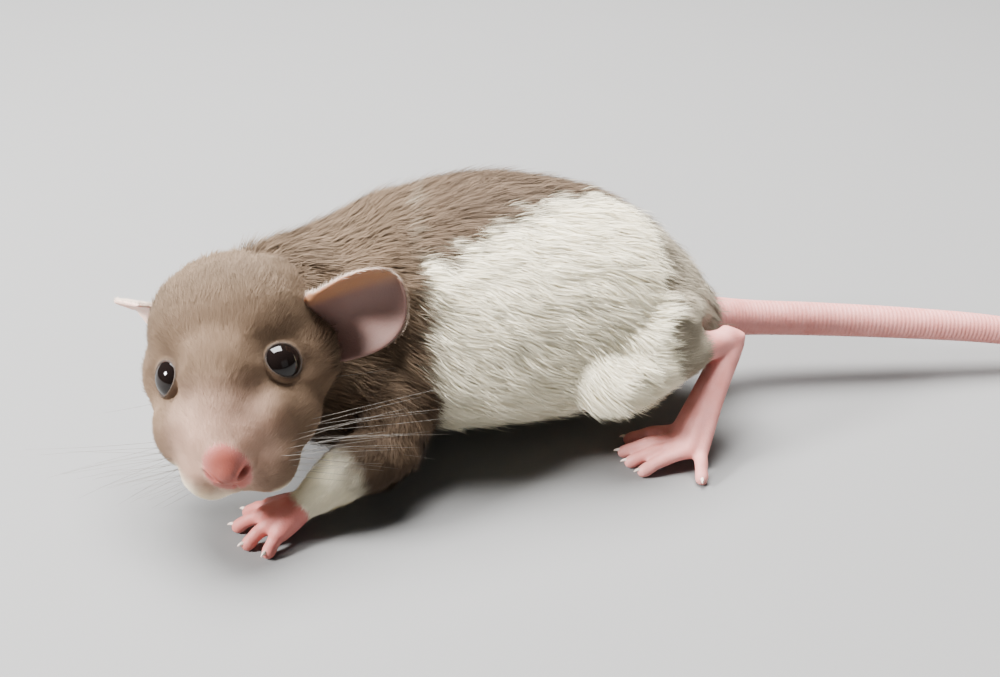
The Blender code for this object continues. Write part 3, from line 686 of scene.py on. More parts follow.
def round_eye(local, side):
    """Ways and distances of points from an eyeball, and how far each is turned from the eye's middle."""
    centre, way, along, high = eye_frame(side)
    ray = local - centre
    far = np.linalg.norm(ray, axis=1)
    out = ray / np.maximum(far, 1e-6)[:, None]
    tilt = np.hypot(out @ along / LID_OPEN, out @ high)
    spread = np.where(out @ way > 0, np.arcsin(np.clip(tilt, 0, 1)), math.pi)
    return out, far, spread, np.clip(out @ along, 0, 1)


def around_face(middles, reach):
    """True near the eyes, the nose and the lips."""
    local = in_head(middles)
    picked = np.linalg.norm(local - (12.6, 0, -5.4), axis=1) < 4.4 * reach
    for side in (1, -1):
        centre, way, _, _ = eye_frame(side)
        picked |= np.linalg.norm(local - centre - way * 1.8, axis=1) < 4.6 * reach
    return picked


def line_on(tree, ways):
    """Where a row of ways from inside the muzzle meets the surface, in draft millimetres."""
    heart = Vector(in_metres(head_spot(MOUTH_HEART)))
    spots = []
    for way in spline(ways, 4 * len(ways)):
        hit = tree.ray_cast(heart, Vector(unit(way @ HEAD_AXES)))[0]
        spots.append(np.array(hit) / MM - SHIFT)
    return np.array(spots)


def away_from(points, line):
    """Distance from each point to a row of places."""
    return np.sqrt(((points[:, None] - line[None]) ** 2).sum(axis=2).min(axis=1))


def sculpted_face(mesh):
    """Lids, nostrils, the cleft of the nose and the lips, pressed into the skin."""
    points, normals = points_of(mesh), normals_of(mesh)
    local = in_head(points)
    for side in (1, -1):
        out, far, spread, _ = round_eye(local, side)
        hidden = 1 - ramp(spread, LID_SPREAD - 0.07, LID_SPREAD + 0.03)
        crest = 1 - ramp(spread, LID_SPREAD + 0.08, LID_SPREAD + 0.42)
        clear = (far + LID_LEAST + np.sqrt((far - LID_LEAST) ** 2 + 0.09)) / 2
        lifted = clear * (1 - crest) + LID_CREST * crest
        reach = lifted * (1 - hidden) + (EYE_RADIUS - SOCKET_DEPTH) * hidden
        local += out * np.where(far < 7, reach - far, 0)[:, None]
    points = head_spot(local)
    tree = tree_of(mesh)
    front = np.where(local[:, 0] > 2)[0]
    mouth = line_on(tree, [*(mirrored(way, -1) for way in MOUTH_WAYS[:0:-1]), *MOUTH_WAYS])
    cleft = line_on(tree, CLEFT_WAYS)
    press = 0.42 * np.exp(-((away_from(points[front], mouth) / 0.34) ** 2))
    press += 0.30 * np.exp(-((away_from(points[front], cleft) / 0.26) ** 2))
    for side in (1, -1):
        off = local[front] - mirrored(NOSTRIL_PLACE, side)
        slant = off[:, 1] * side * 0.5
        press += 1.0 * np.exp(-((off[:, 1] / 0.55) ** 2) - ((off[:, 2] - slant) / 0.34) ** 2)
        rim = np.hypot(off[:, 1] / 1.0, (off[:, 2] - slant) / 0.8)
        press -= 0.16 * np.exp(-(((rim - 0.95) / 0.3) ** 2))
    points[front] -= normals[front] * press[:, None]
    put_points(mesh, points)


def round_the_body(points):
    """Angle from the top of the trunk, left positive, at each point."""
    rows = spline(TRUNK, 60)[::-1]
    y, z, wide, high = (np.interp(points[:, 0], rows[:, 0], rows[:, k]) for k in (1, 2, 3, 4))
    return np.degrees(np.arctan2(-(points[:, 1] - y) / wide, (points[:, 2] - z) / high))


def beside(points, low, high):
    """How far along a bone each point lies, as a share, and its distance from it."""
    low, high = np.array(low), np.array(high)
    run = (points - low) @ (high - low) / ((high - low) @ (high - low))
    return run, np.linalg.norm(points - low - np.clip(run, 0, 1)[:, None] * (high - low), axis=1)


def from_form(local, form):
    """Distance of points from a form's centre, as a share of its radii."""
    centre, radii = form
    return np.linalg.norm((local - centre) / radii, axis=1)


def marking_fields(points):
    """The coat's markings, with painted shade low on the cheek, jaw and chest and in the nostrils, as shares
    from 0 to 1 at each point.
    """
    local = in_head(points)
    angle = round_the_body(points)
    blur = waves(points, 3.2, 11) + waves(points, 1.3, 12) * 0.6
    left, right = (np.interp(points[:, 0], STRIPE_PLACE, edge) for edge in (STRIPE_LEFT, STRIPE_RIGHT))
    inside = np.where(angle > 0, left - angle, right + angle) + blur * 3.5
    stripe = ramp(inside, -5, 6) * (1 - 0.30 * ramp(points[:, 0], 14, 22))
    edge = HOOD_EDGE - 0.2 * np.clip(points[:, 2] - 24, 0, 9)
    hood = ramp(edge - points[:, 0] + blur * 0.5, -1.4, 1.4)
    hood = np.maximum(hood, stripe * ramp(points[:, 0], -16, -12))
    # the arms are dark down to the elbow and pale below it, like the throat and the belly
    for shoulder, elbow, _, wrist in (LIMBS["arm_left"], LIMBS["arm_right"]):
        run, off = beside(points, shoulder[0], elbow[0])
        hood = np.maximum(hood, 1 - ramp(off + blur * 0.4, 5.2, 7.0))
        run, off = beside(points, elbow[0], wrist[0])
        hood *= 1 - ramp(run + blur * 0.03, 0.36, 0.56) * (1 - ramp(off, 3.6, 5.4))
    hood *= 1 - ramp(4.5 - points[:, 2] + blur * 0.5, -1.4, 1.4) * ramp(points[:, 1], -15, -11)
    over_throat = ramp(local[:, 2], *THROAT_HEIGHT)
    head = ramp(local[:, 0], -1, 3) * over_throat * (np.abs(local[:, 1]) < 10)
    chin = ramp(CHIN_HEIGHT - local[:, 2] + blur * 0.3, -0.8, 1.4)
    lip = 1 - ramp(from_form(local, LIP_FORM), 0.7, 1.25)
    hood *= 1 - np.maximum(chin, lip) * head
    blush = 1 - ramp(from_form(local, BLUSH_FORM), 0.34, 1.15)
    crown = ramp(local[:, 0], -7, 2) * over_throat * (np.abs(local[:, 1]) < 11)
    # painted shade: the hood darkened low on the left cheek, under the jaw and on the chest on the left,
    # where shade falls; the saddle below is the back's own darker brown
    dusk = ramp(-local[:, 2], 2.0, 8.0) * ramp(2.0 - local[:, 0], -1, 5) * ramp(local[:, 1], -4, 4)
    dusk = np.maximum(dusk * 0.2, ramp(-local[:, 2], 9, 13) * ramp(local[:, 1], 0, 6))
    dusk = dusk * ramp(points[:, 0], -6, -10) * ramp(points[:, 2], 3, 7)
    saddle = ramp(points[:, 0], -16, -8) * ramp(points[:, 2], 22, 30)
    dusk = np.maximum(dusk, 0.8 * saddle)
    nose = 1 - ramp(from_form(local, NOSE_FORM), 0.42, 1.06)
    wings = [from_form(local, (mirrored(NOSTRIL_PLACE, side), NOSTRIL_RADII)) for side in (1, -1)]
    return {
        "hood": hood,
        "blush": blush * head,
        "crown": crown,
        "dusk": dusk,
        "nose": nose,
        # the nostrils' darker lining, with painted shade in their hollows
        "pit": 1 - ramp(np.minimum(*wings), 0.5, 1.1),
    }


class Socket:
    """A shader socket that takes part in sums."""

    def __init__(self, tree, socket):
        self.tree = tree
        self.socket = socket

    def maths(self, operation, *values):
        return self.tree.node("ShaderNodeMath", {"operation": operation}, values)

    def __add__(self, other):
        return self.maths("ADD", self, other)

    def __radd__(self, other):
        return self.maths("ADD", other, self)

    def __sub__(self, other):
        return self.maths("SUBTRACT", self, other)

    def __rsub__(self, other):
        return self.maths("SUBTRACT", other, self)

    def __mul__(self, other):
        return self.maths("MULTIPLY", self, other)

    def __rmul__(self, other):
        return self.maths("MULTIPLY", other, self)

    def sine(self):
        return self.maths("SINE", self)


class Finish:
    """A material being wired, with one method for any node."""

    def __init__(self, name, **constants):
        self.material = bpy.data.materials.new(name)
        self.material.use_nodes = True
        self.nodes = self.material.node_tree.nodes
        self.links = self.material.node_tree.links
        self.shader = self.nodes["Principled BSDF"]
        for key, value in constants.items():
            self.shader.inputs[key.replace("_", " ").title().replace("Ior", "IOR")].default_value = value

    def node(self, kind, settings=None, values=(), output=0):
        """Adds a node, sets it up and feeds its inputs, by order or by name, and gives one output."""
        made = self.nodes.new(kind)
        for key, value in (settings or {}).items():
            setattr(made, key, value)
        for key, value in values.items() if isinstance(values, dict) else enumerate(values):
            if isinstance(value, Socket):
                self.links.new(value.socket, made.inputs[key])
            elif value is not None:
                made.inputs[key].default_value = value
        return Socket(self, made.outputs[output])

    def feed(self, name, value):
        self.links.new(value.socket, self.shader.inputs[name])

    def field(self, name):
        """A share stored at the mesh's points."""
        return self.node("ShaderNodeAttribute", {"attribute_name": name}, output="Fac")

    def place(self):
        return self.node("ShaderNodeTexCoord", output="Object")

    def noise(self, scale, detail):
        """Noise over Object coordinates, in cycles for each metre."""
        values = {"Vector": self.place(), "Scale": scale, "Detail": detail}
        return self.node("ShaderNodeTexNoise", {}, values)

    def mix(self, share, one, other, blend="MIX"):
        """One colour turning to another as share goes from 0 to 1."""
        settings = {"data_type": "RGBA", "blend_type": blend}
        return self.node("ShaderNodeMix", settings, {0: share, 6: one, 7: other}, 2)

    def bump(self, height, strength, distance):
        values = {"Strength": strength, "Distance": distance, "Height": height}
        self.feed("Normal", self.node("ShaderNodeBump", {}, values))


def four(colour):
    return (*colour, 1.0)


def coat_colour(finish, props):
    """The colour of the fur from its markings and its painted shade, the same on skin and hair."""
    drift = finish.noise(260, 3)
    hood = finish.mix(finish.field("crown"), four(props.hood), four(props.crown))
    # painted shade low on the cheek, jaw and chest, mixed with the saddle's own darker brown
    hood = finish.mix(finish.field("dusk") * 0.8, hood, four(props.dusk))
    hood = finish.mix(drift * 0.35, hood, four(props.crown))
    cream = finish.mix(drift * 0.5, four(props.cream), four(props.cream_deep))
    colour = finish.mix(finish.field("hood"), cream, hood)
    colour = finish.mix(finish.field("blush") * 0.62, colour, four(props.blush))
    return finish.mix(finish.field("lid") * 0.5, colour, four(props.lid))


def skin_finish(props):
    """Bare pink skin on paws, ears, nose and tail, and the same markings as the coat elsewhere."""
    finish = Finish("rat_skin", roughness=0.5, subsurface_weight=0.12, subsurface_scale=0.0015)
    finish.shader.inputs["Subsurface Radius"].default_value = (1.0, 0.35, 0.22)
    finish.shader.inputs["Specular IOR Level"].default_value = 0.4
    # painted shade: the hands darkened toward the deep skin colour
    blood = finish.noise(420, 4) + finish.field("deep") * 0.5
    bare = finish.mix(blood, four(props.skin_pale), four(props.skin_deep))
    bare = finish.mix(finish.field("cup"), bare, four(props.ear))
    # painted light: the right ear lightened toward the coat's cream
    bare = finish.mix(finish.field("pale"), bare, four(props.cream))
    # painted shade: the left ear's upper flap darkened where it folds over
    bare = finish.mix(finish.field("fold"), bare, four(props.ear_deep))
    # the nostrils' darker lining, with painted shade in their hollows
    pad = finish.mix(finish.field("pit"), four(props.nose), four(props.pit))
    bare = finish.mix(finish.field("nose"), bare, pad)
    under = finish.mix(0.35, coat_colour(finish, props), four(props.under), "MULTIPLY")
    colour = finish.mix(finish.field("bare"), under, bare)
    colour = finish.mix(finish.field("lid"), colour, four(props.lid))
    finish.feed("Base Color", colour)
    finish.feed("Roughness", 0.75 - finish.field("bare") * 0.2 - finish.field("nose") * 0.15)
    scales = finish.node(
        "ShaderNodeTexVoronoi", {"feature": "DISTANCE_TO_EDGE"}, {"Vector": finish.place(), "Scale": 2600.0}
    )
    rings = (finish.field("along") * (math.tau / 0.62)).sine() * finish.field("tail")
    height = scales * 0.5 * finish.field("bare") + rings * 0.3 + finish.noise(5200, 2) * 0.3
    finish.bump(height, 0.5, 0.00012)
    return finish.material


def coat_finish(props):
    finish = Finish("rat_coat", roughness=0.7, sheen_weight=0.05, sheen_roughness=0.5)
    finish.shader.inputs["Specular IOR Level"].default_value = 0.15
    colour = coat_colour(finish, props)
    colour = finish.mix(finish.field("ear"), colour, four(props.ear_hair))
    tone = finish.field("tone")
    root = finish.mix(1.0 - finish.field("tip"), four((1, 1, 1)), four(props.root), "MULTIPLY")
    colour = finish.mix(1.0, colour, root, "MULTIPLY")
    shade = finish.mix(tone, four((0.94, 0.94, 0.94)), four((1.07, 1.065, 1.06)))
    finish.feed("Base Color", finish.mix(1.0, colour, shade, "MULTIPLY"))
    return finish.material


def plain_finish(name, colour, spread, scale, **constants):
    """A finish whose colour drifts a little, with a fine bump."""
    finish = Finish(name, **constants)
    drift = finish.noise(scale, 3)
    finish.feed("Base Color", finish.mix(drift, four(colour), four(spread)))
    finish.bump(drift, 0.15, 0.00005)
    return finish.material


def number_prop(name, description, value, least=0.0):
    return bpy.props.FloatProperty(name=name, description=description, default=value, min=least)


def colour_prop(name, description, value):
    return bpy.props.FloatVectorProperty(
        name=name, description=description, default=value, size=3, min=0, max=1, subtype="COLOR"
    )


class RAT_PG_skin(bpy.types.PropertyGroup):
    voxel: number_prop("Grain", "Size of the skin's faces in mm", 0.42, 0.2)
    paw_voxel: number_prop("Paw grain", "Size of a paw's faces in mm", 0.24, 0.1)
    skin_pale: colour_prop("Pale skin", "Bare skin where it is thin of blood", (0.76, 0.35, 0.32))
    # also the colour of the painted shade on the hands
    skin_deep: colour_prop("Deep skin", "Bare skin where it is warmest", (0.52, 0.165, 0.14))
    ear: colour_prop("Ear", "The cup of the ear", (0.165, 0.098, 0.080))
    # the colour of the painted shade in the left ear's folded upper flap
    ear_deep: colour_prop("Ear fold", "The ear where it is folded and in shade", (0.32, 0.155, 0.08))
    nose: colour_prop("Nose", "The nose pad", (0.27, 0.065, 0.045))
    # the nostrils' darker lining, with painted shade in their hollows
    pit: colour_prop("Nostril", "Inside the nostrils", (0.13, 0.035, 0.03))
    lid: colour_prop("Lid", "The rim of the eyelids", (0.045, 0.030, 0.022))
    under: colour_prop("Underfur", "What dulls the skin under the coat", (0.80, 0.78, 0.76))


class RAT_PG_coat(bpy.types.PropertyGroup):
    faces: bpy.props.IntProperty(
        name="Faces", description="Triangles in the whole coat", default=1400000, min=1000
    )
    width: number_prop("Width", "Width of a tuft in mm", 0.115, 0.01)
    length: number_prop("Length", "Times the natural length", 1.0, 0.1)
    hood: colour_prop("Hood", "Head, shoulders and stripe", (0.108, 0.073, 0.045))
    crown: colour_prop("Crown", "The hood where it is lightest", (0.200, 0.130, 0.082))
    # the colour of the painted shade on cheek, jaw and chest, and of the darker saddle on the back
    dusk: colour_prop("Dusk", "The hood low on cheek and chest", (0.050, 0.031, 0.018))
    cream: colour_prop("Cream", "Flanks, legs and belly", (0.92, 0.86, 0.67))
    cream_deep: colour_prop("Deep cream", "Where the cream is warmer", (0.82, 0.73, 0.53))
    blush: colour_prop("Blush", "Thin fur on the muzzle with pink under it", (0.78, 0.50, 0.38))
    ear_hair: colour_prop("Ear hair", "The thin down on the ears", (0.55, 0.43, 0.35))
    root: colour_prop("Root", "What darkens a tuft at its root", (0.93, 0.92, 0.91))


class RAT_PG_stage(bpy.types.PropertyGroup):
    window: number_prop("Window", "Light from the side in watts", 9.0)
    top: number_prop("Top", "Broad light from above in watts", 30.0)
    fill: number_prop("Fill", "Fill light in watts", 0.4)
    sky: number_prop("Sky", "Strength of the light all round", 0.08)
    floor: colour_prop("Floor", "The plain floor", (0.185, 0.183, 0.180))


SPOTS = {}  # what one step leaves for the next: the skin


class RAT_OT_skin(bpy.types.Operator):
    """Makes one skin for body, ears, paws and tail"""

    bl_idname = "rat.skin"
    bl_label = "Skin"

    def execute(self, context):
        props, coat = context.scene.rat_skin, context.scene.rat_coat
        skin = body_form(props.voxel)
        points, normals = points_of(skin.data), normals_of(skin.data)
        length = combed(points)[1]
        local = in_head(points)
        snout = ramp(local[:, 0], 9.5, 13.0) * (points[:, 1] < -24)
        depth = np.maximum(length - 0.45, 0) * COAT_RISE * (1 - snout)
        put_points(skin.data, points - normals * depth[:, None])
        forms = {name: paw_form(name, props.paw_voxel) for name in PAWS}
        forms["tail"] = tail_form()
        forms.update({"ear_" + word: ear_form(word) for word in EARS})
        for form in forms.values():
            joined(skin, form)
        for reach in (1.0, 0.72):
            finer(skin, lambda middles, reach=reach: around_face(middles, reach))
        mesh = skin.data
        pairs = edges_of(mesh)
        points = points_of(mesh)
        marks = {name: reached_from(points, form.data, 0.03) for name, form in forms.items()}
        paws = np.any([marks[name] for name in PAWS], axis=0).astype(float)
        hands = eased((marks["hand_left"] | marks["hand_right"]).astype(float), pairs, 10)
        ears = np.any([marks["ear_" + word] for word in EARS], axis=0).astype(float)
        tail = (marks["tail"] & (points[:, 0] > 27)).astype(float)
        bare = np.maximum.reduce((paws, ears, tail))
        seam = eased(np.abs(bare - eased(bare, pairs, 4)) * 4, pairs, 6)
        face = around_face(points, 0.9).astype(float)
        points = eased(points, pairs, 12, np.clip(seam * (1 - ears), 0, 1))
        points = eased(points, pairs, 3, face)
        points[:, 2] = np.maximum(points[:, 2], 0.02)
        put_points(mesh, points)
        sculpted_face(mesh)
        points = points_of(mesh)
        self.write_fields(mesh, points, pairs, paws, hands, ears, tail, coat)
        for form in forms.values():
            bpy.data.objects.remove(form)
        self.unwrap(skin)
        mesh.shade_smooth()
        mesh.materials.clear()
        mesh.materials.append(skin_finish(SkinAndCoat(props, coat)))
        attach(skin, BODY)
        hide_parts(*[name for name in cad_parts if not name.startswith("eye")])
        SPOTS["skin"] = skin
        return {"FINISHED"}

    def write_fields(self, mesh, points, pairs, paws, hands, ears, tail, coat):
        """Stores the markings, the painted light and shade, the bare places and the lie of the coat."""
        normals = normals_of(mesh)
        local = in_head(points)
        bare = np.maximum.reduce((eased(paws, pairs, 10), ears, eased(tail, pairs, 10)))
        heel = np.linalg.norm(points - HEEL, axis=1)
        bare = np.maximum(bare, 1 - ramp(heel, 4.4, 8.6))
        fields = marking_fields(points)
        bare = np.maximum(bare, ramp(fields["nose"], 0.25, 0.7))
        lid = np.zeros(len(points))
        near_eye, by_eye = np.ones(len(points)), np.ones(len(points))
        for side in (1, -1):
            _, far, spread, ahead = round_eye(local, side)
            spread = np.where(far < 6, spread, math.pi)
            lid = np.maximum(lid, 1 - ramp(spread, LID_SPREAD + 0.08, LID_SPREAD + 0.30))
            begin = LID_SPREAD + 0.02 + 0.12 * ahead
            near_eye = np.minimum(near_eye, ramp(spread, begin, begin + 0.07))
            by_eye = np.minimum(by_eye, 0.35 + 0.65 * ramp(spread, LID_SPREAD + 0.05, LID_SPREAD + 0.75))
        inner = np.zeros(len(points))
        for word in EARS:
            root, out, face = (np.array(value) for value in EARS[word][:3])
            out = unit(out)
            face = unit(face - out * (face @ out))
            facing = normals @ (face @ HEAD_AXES)
            same_side = np.sign(local[:, 1]) == np.sign(root[1])
            inner = np.maximum(inner, ears * ramp(facing, -0.2, 0.4) * same_side)
        way, length = combed(points)
        way = way - normals * (way * normals).sum(axis=1)[:, None]
        side = np.cross(normals, unit(way))
        swirl = np.radians(waves(points, 5.0, 5) * 10 + waves(points, 2.2, 6) * 6)[:, None]
        way = unit(way) * np.cos(swirl) + unit(side) * np.sin(swirl)
        share = (1 - bare) * near_eye * (points[:, 2] > 0.4)
        share = np.where(ears > 0, 0.25 * (1 - inner), share)
        length = np.where(ears > 0, 0.7, length * by_eye * (0.85 + 0.12 * waves(points, 3.0, 7)))
        fields.update(
            bare=bare,
            lid=lid,
            ear=ears,
            cup=ears * 0.92 * (local[:, 1] > 0),
            # painted shade on the hands
            deep=hands,
            # painted light on the right ear
            pale=ears * 0.4 * (local[:, 1] < 0),
            # painted shade inside the left ear's upper flap
            fold=inner * ramp(local[:, 2], 0.6, 3.0) * (local[:, 1] > 0),
            tail=eased(tail, pairs, 4),
            along=self.along_tail(points, tail),
            share=np.clip(share, 0, 1),
            length=np.maximum(length, 0.3) * coat.length,
            way=way,
        )
        for name, values in fields.items():
            set_field(mesh, name, values)

    def along_tail(self, points, tail):
        """Distance along the tail in millimetres, for the rings of its scales."""
        rows = spline(TAIL, 800)[:, :3]
        run = np.concatenate(([0], np.cumsum(np.linalg.norm(np.diff(rows, axis=0), axis=1))))
        along = np.zeros(len(points))
        on_tail = np.where(tail > 0)[0]
        for start in range(0, len(on_tail), 4000):
            part = on_tail[start : start + 4000]
            near = ((points[part, None] - rows[None]) ** 2).sum(axis=2).argmin(axis=1)
            near = np.clip(near, 1, len(rows) - 2)
            way = unit(rows[near + 1] - rows[near - 1])
            along[part] = run[near] + ((points[part] - rows[near]) * way).sum(axis=1)
        return along

    def unwrap(self, skin):
        """Unwraps the skin into the map that its coat shares."""
        bpy.context.view_layer.objects.active = skin
        skin.select_set(True)
        while skin.data.uv_layers:
            skin.data.uv_layers.remove(skin.data.uv_layers[0])
        skin.data.uv_layers.new(name="OFBake")
        bpy.ops.object.mode_set(mode="EDIT")
        bpy.ops.mesh.select_all(action="SELECT")
        bpy.ops.uv.smart_project(angle_limit=math.radians(80), island_margin=0.002)
        bpy.ops.object.mode_set(mode="OBJECT")


class SkinAndCoat:
    """Both groups of settings under one name, for a finish that reads from each."""

    def __init__(self, *groups):
        self.groups = groups

    def __getattr__(self, name):
        for group in self.groups:
            if hasattr(group, name):
                return getattr(group, name)
        raise AttributeError(name)


class RAT_OT_eyes(bpy.types.Operator):
    """Makes the two wet black eyes"""

    bl_idname = "rat.eyes"
    bl_label = "Eyes"

    def execute(self, context):
        finish = Finish("rat_eye", roughness=0.06)
        finish.shader.inputs["Specular IOR Level"].default_value = 0.32
        deep = finish.noise(300, 2)
        finish.feed("Base Color", finish.mix(deep, four((0.003, 0.002, 0.002)), four((0.008, 0.005, 0.004))))
        for word, side in (("left", 1), ("right", -1)):
            centre, way, along, high = eye_frame(side)
            work = bmesh.new()
            ways = [unit(axis @ HEAD_AXES) for axis in (along, high, way)]
            if np.linalg.det(np.array(ways)) < 0:
                ways[1] = -ways[1]
            frame = Matrix(np.column_stack([axis * EYE_RADIUS * MM for axis in ways]).tolist()).to_4x4()
            frame.translation = in_metres(head_spot(centre))
            bmesh.ops.create_uvsphere(work, u_segments=48, v_segments=32, radius=1, matrix=frame)
            eye = new_object("eyeball_" + word, work)
            eye.data.shade_smooth()
            eye.data.materials.append(finish.material)
            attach(eye, BODY)
            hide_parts("eye_" + word)
        return {"FINISHED"}


class RAT_OT_claws(bpy.types.Operator):
    """Makes the small curved claws of all four paws"""

    bl_idname = "rat.claws"
    bl_label = "Claws"

    def execute(self, context):
        work = bmesh.new()
        for plan in PAWS.values():
            for knuckle, tip in zip(plan["knuckles"], plan["tips"]):
                rows = digit_rows(knuckle, tip, plan["digit"])
                end, way = rows[-1, :3], unit(rows[-1, :3] - rows[-5, :3])
                way = unit((way[0], way[1], 0.12))
                start = end + way * 0.35 + np.array((0, 0, 0.22))
                rows = []
                for t, thin in zip(np.linspace(0, 1, 8), np.linspace(0, 0.97, 8)):
                    drop = np.array((0, 0, 0.10 * math.sin(t * 2.4) - 0.34 * t * t))
                    rows.append((*(start + way * CLAW_LENGTH * t + drop), 0.30 * (1 - thin) ** 0.7 + 0.03))
                add_tube(work, rows, 8)
        claws = new_object("claws", work)
        claws.data.shade_smooth()
        claws.data.materials.append(
            plain_finish("rat_claw", (0.80, 0.66, 0.58), (0.70, 0.54, 0.46), 900, roughness=0.35)
        )
        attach(claws, BODY)
        return {"FINISHED"}


def blade(name, spots, faces):
    """One tuft of unit length and width, standing at the origin and pointing along +Y."""
    work = bmesh.new()
    verts = [work.verts.new(spot) for spot in spots]
    for face in faces:
        work.faces.new([verts[k] for k in face])
    mesh = bpy.data.meshes.new(name)
    work.to_mesh(mesh)
    work.free()
    set_field(mesh, "tip", [spot[1] for spot in spots])
    set_field(mesh, "patch", [((spot[0] + 0.5), spot[1], 0) for spot in spots])
    obj = bpy.data.objects.new(name, mesh)
    bpy.context.scene.collection.objects.link(obj)
    return obj


def long_blade(name, sway, rise):
    """A tuft that leaves the skin, then bends over along it."""
    bend = (0.52, rise * 0.8)
    spots = ((-0.5, 0, 0), (0.5, 0, 0), (0.42 + sway, *bend), (-0.42 + sway, *bend), (sway * 3, 1, rise))
    return blade(name, spots, ((0, 1, 2, 3), (3, 2, 4)))


class Nodes:
    """A Geometry Nodes tree being wired."""

    def __init__(self, name, inputs):
        self.tree = bpy.data.node_groups.new(name, "GeometryNodeTree")
        face = self.tree.interface
        face.new_socket(name="Geometry", in_out="OUTPUT", socket_type="NodeSocketGeometry")
        self.keys = {}
        for label, kind in inputs:
            self.keys[label] = face.new_socket(name=label, in_out="INPUT", socket_type=kind).identifier
        self.into = self.tree.nodes.new("NodeGroupInput")
        self.out = self.tree.nodes.new("NodeGroupOutput")

    def node(self, kind, settings=None, values=None, output=0):
        made = self.tree.nodes.new(kind)
        for key, value in (settings or {}).items():
            setattr(made, key, value)
        for key, value in (values or {}).items():
            if isinstance(value, bpy.types.NodeSocket):
                self.tree.links.new(value, made.inputs[key])
            else:
                made.inputs[key].default_value = value
        return made.outputs[output]

    def maths(self, operation, *values):
        return self.node("ShaderNodeMath", {"operation": operation}, dict(enumerate(values)))

    def vector_maths(self, operation, values):
        return self.node("ShaderNodeVectorMath", {"operation": operation}, values)

    def given(self, label):
        return self.into.outputs[label]

    def named(self, name, kind="FLOAT"):
        return self.node("GeometryNodeInputNamedAttribute", {"data_type": kind}, {"Name": name}, "Attribute")

    def stored(self, geometry, name, value, kind="FLOAT", domain="POINT"):
        return self.node(
            "GeometryNodeStoreNamedAttribute",
            {"data_type": kind, "domain": domain},
            {"Geometry": geometry, "Name": name, "Value": value},
        )

    def chance(self, low, high, seed, kind="FLOAT"):
        """A random value for each tuft."""
        keys = {"FLOAT": (2, 3), "FLOAT_VECTOR": (0, 1)}[kind]
        return self.node(
            "FunctionNodeRandomValue",
            {"data_type": kind},
            {keys[0]: low, keys[1]: high, "Seed": seed},
            {"FLOAT": 1, "FLOAT_VECTOR": 0}[kind],
        )


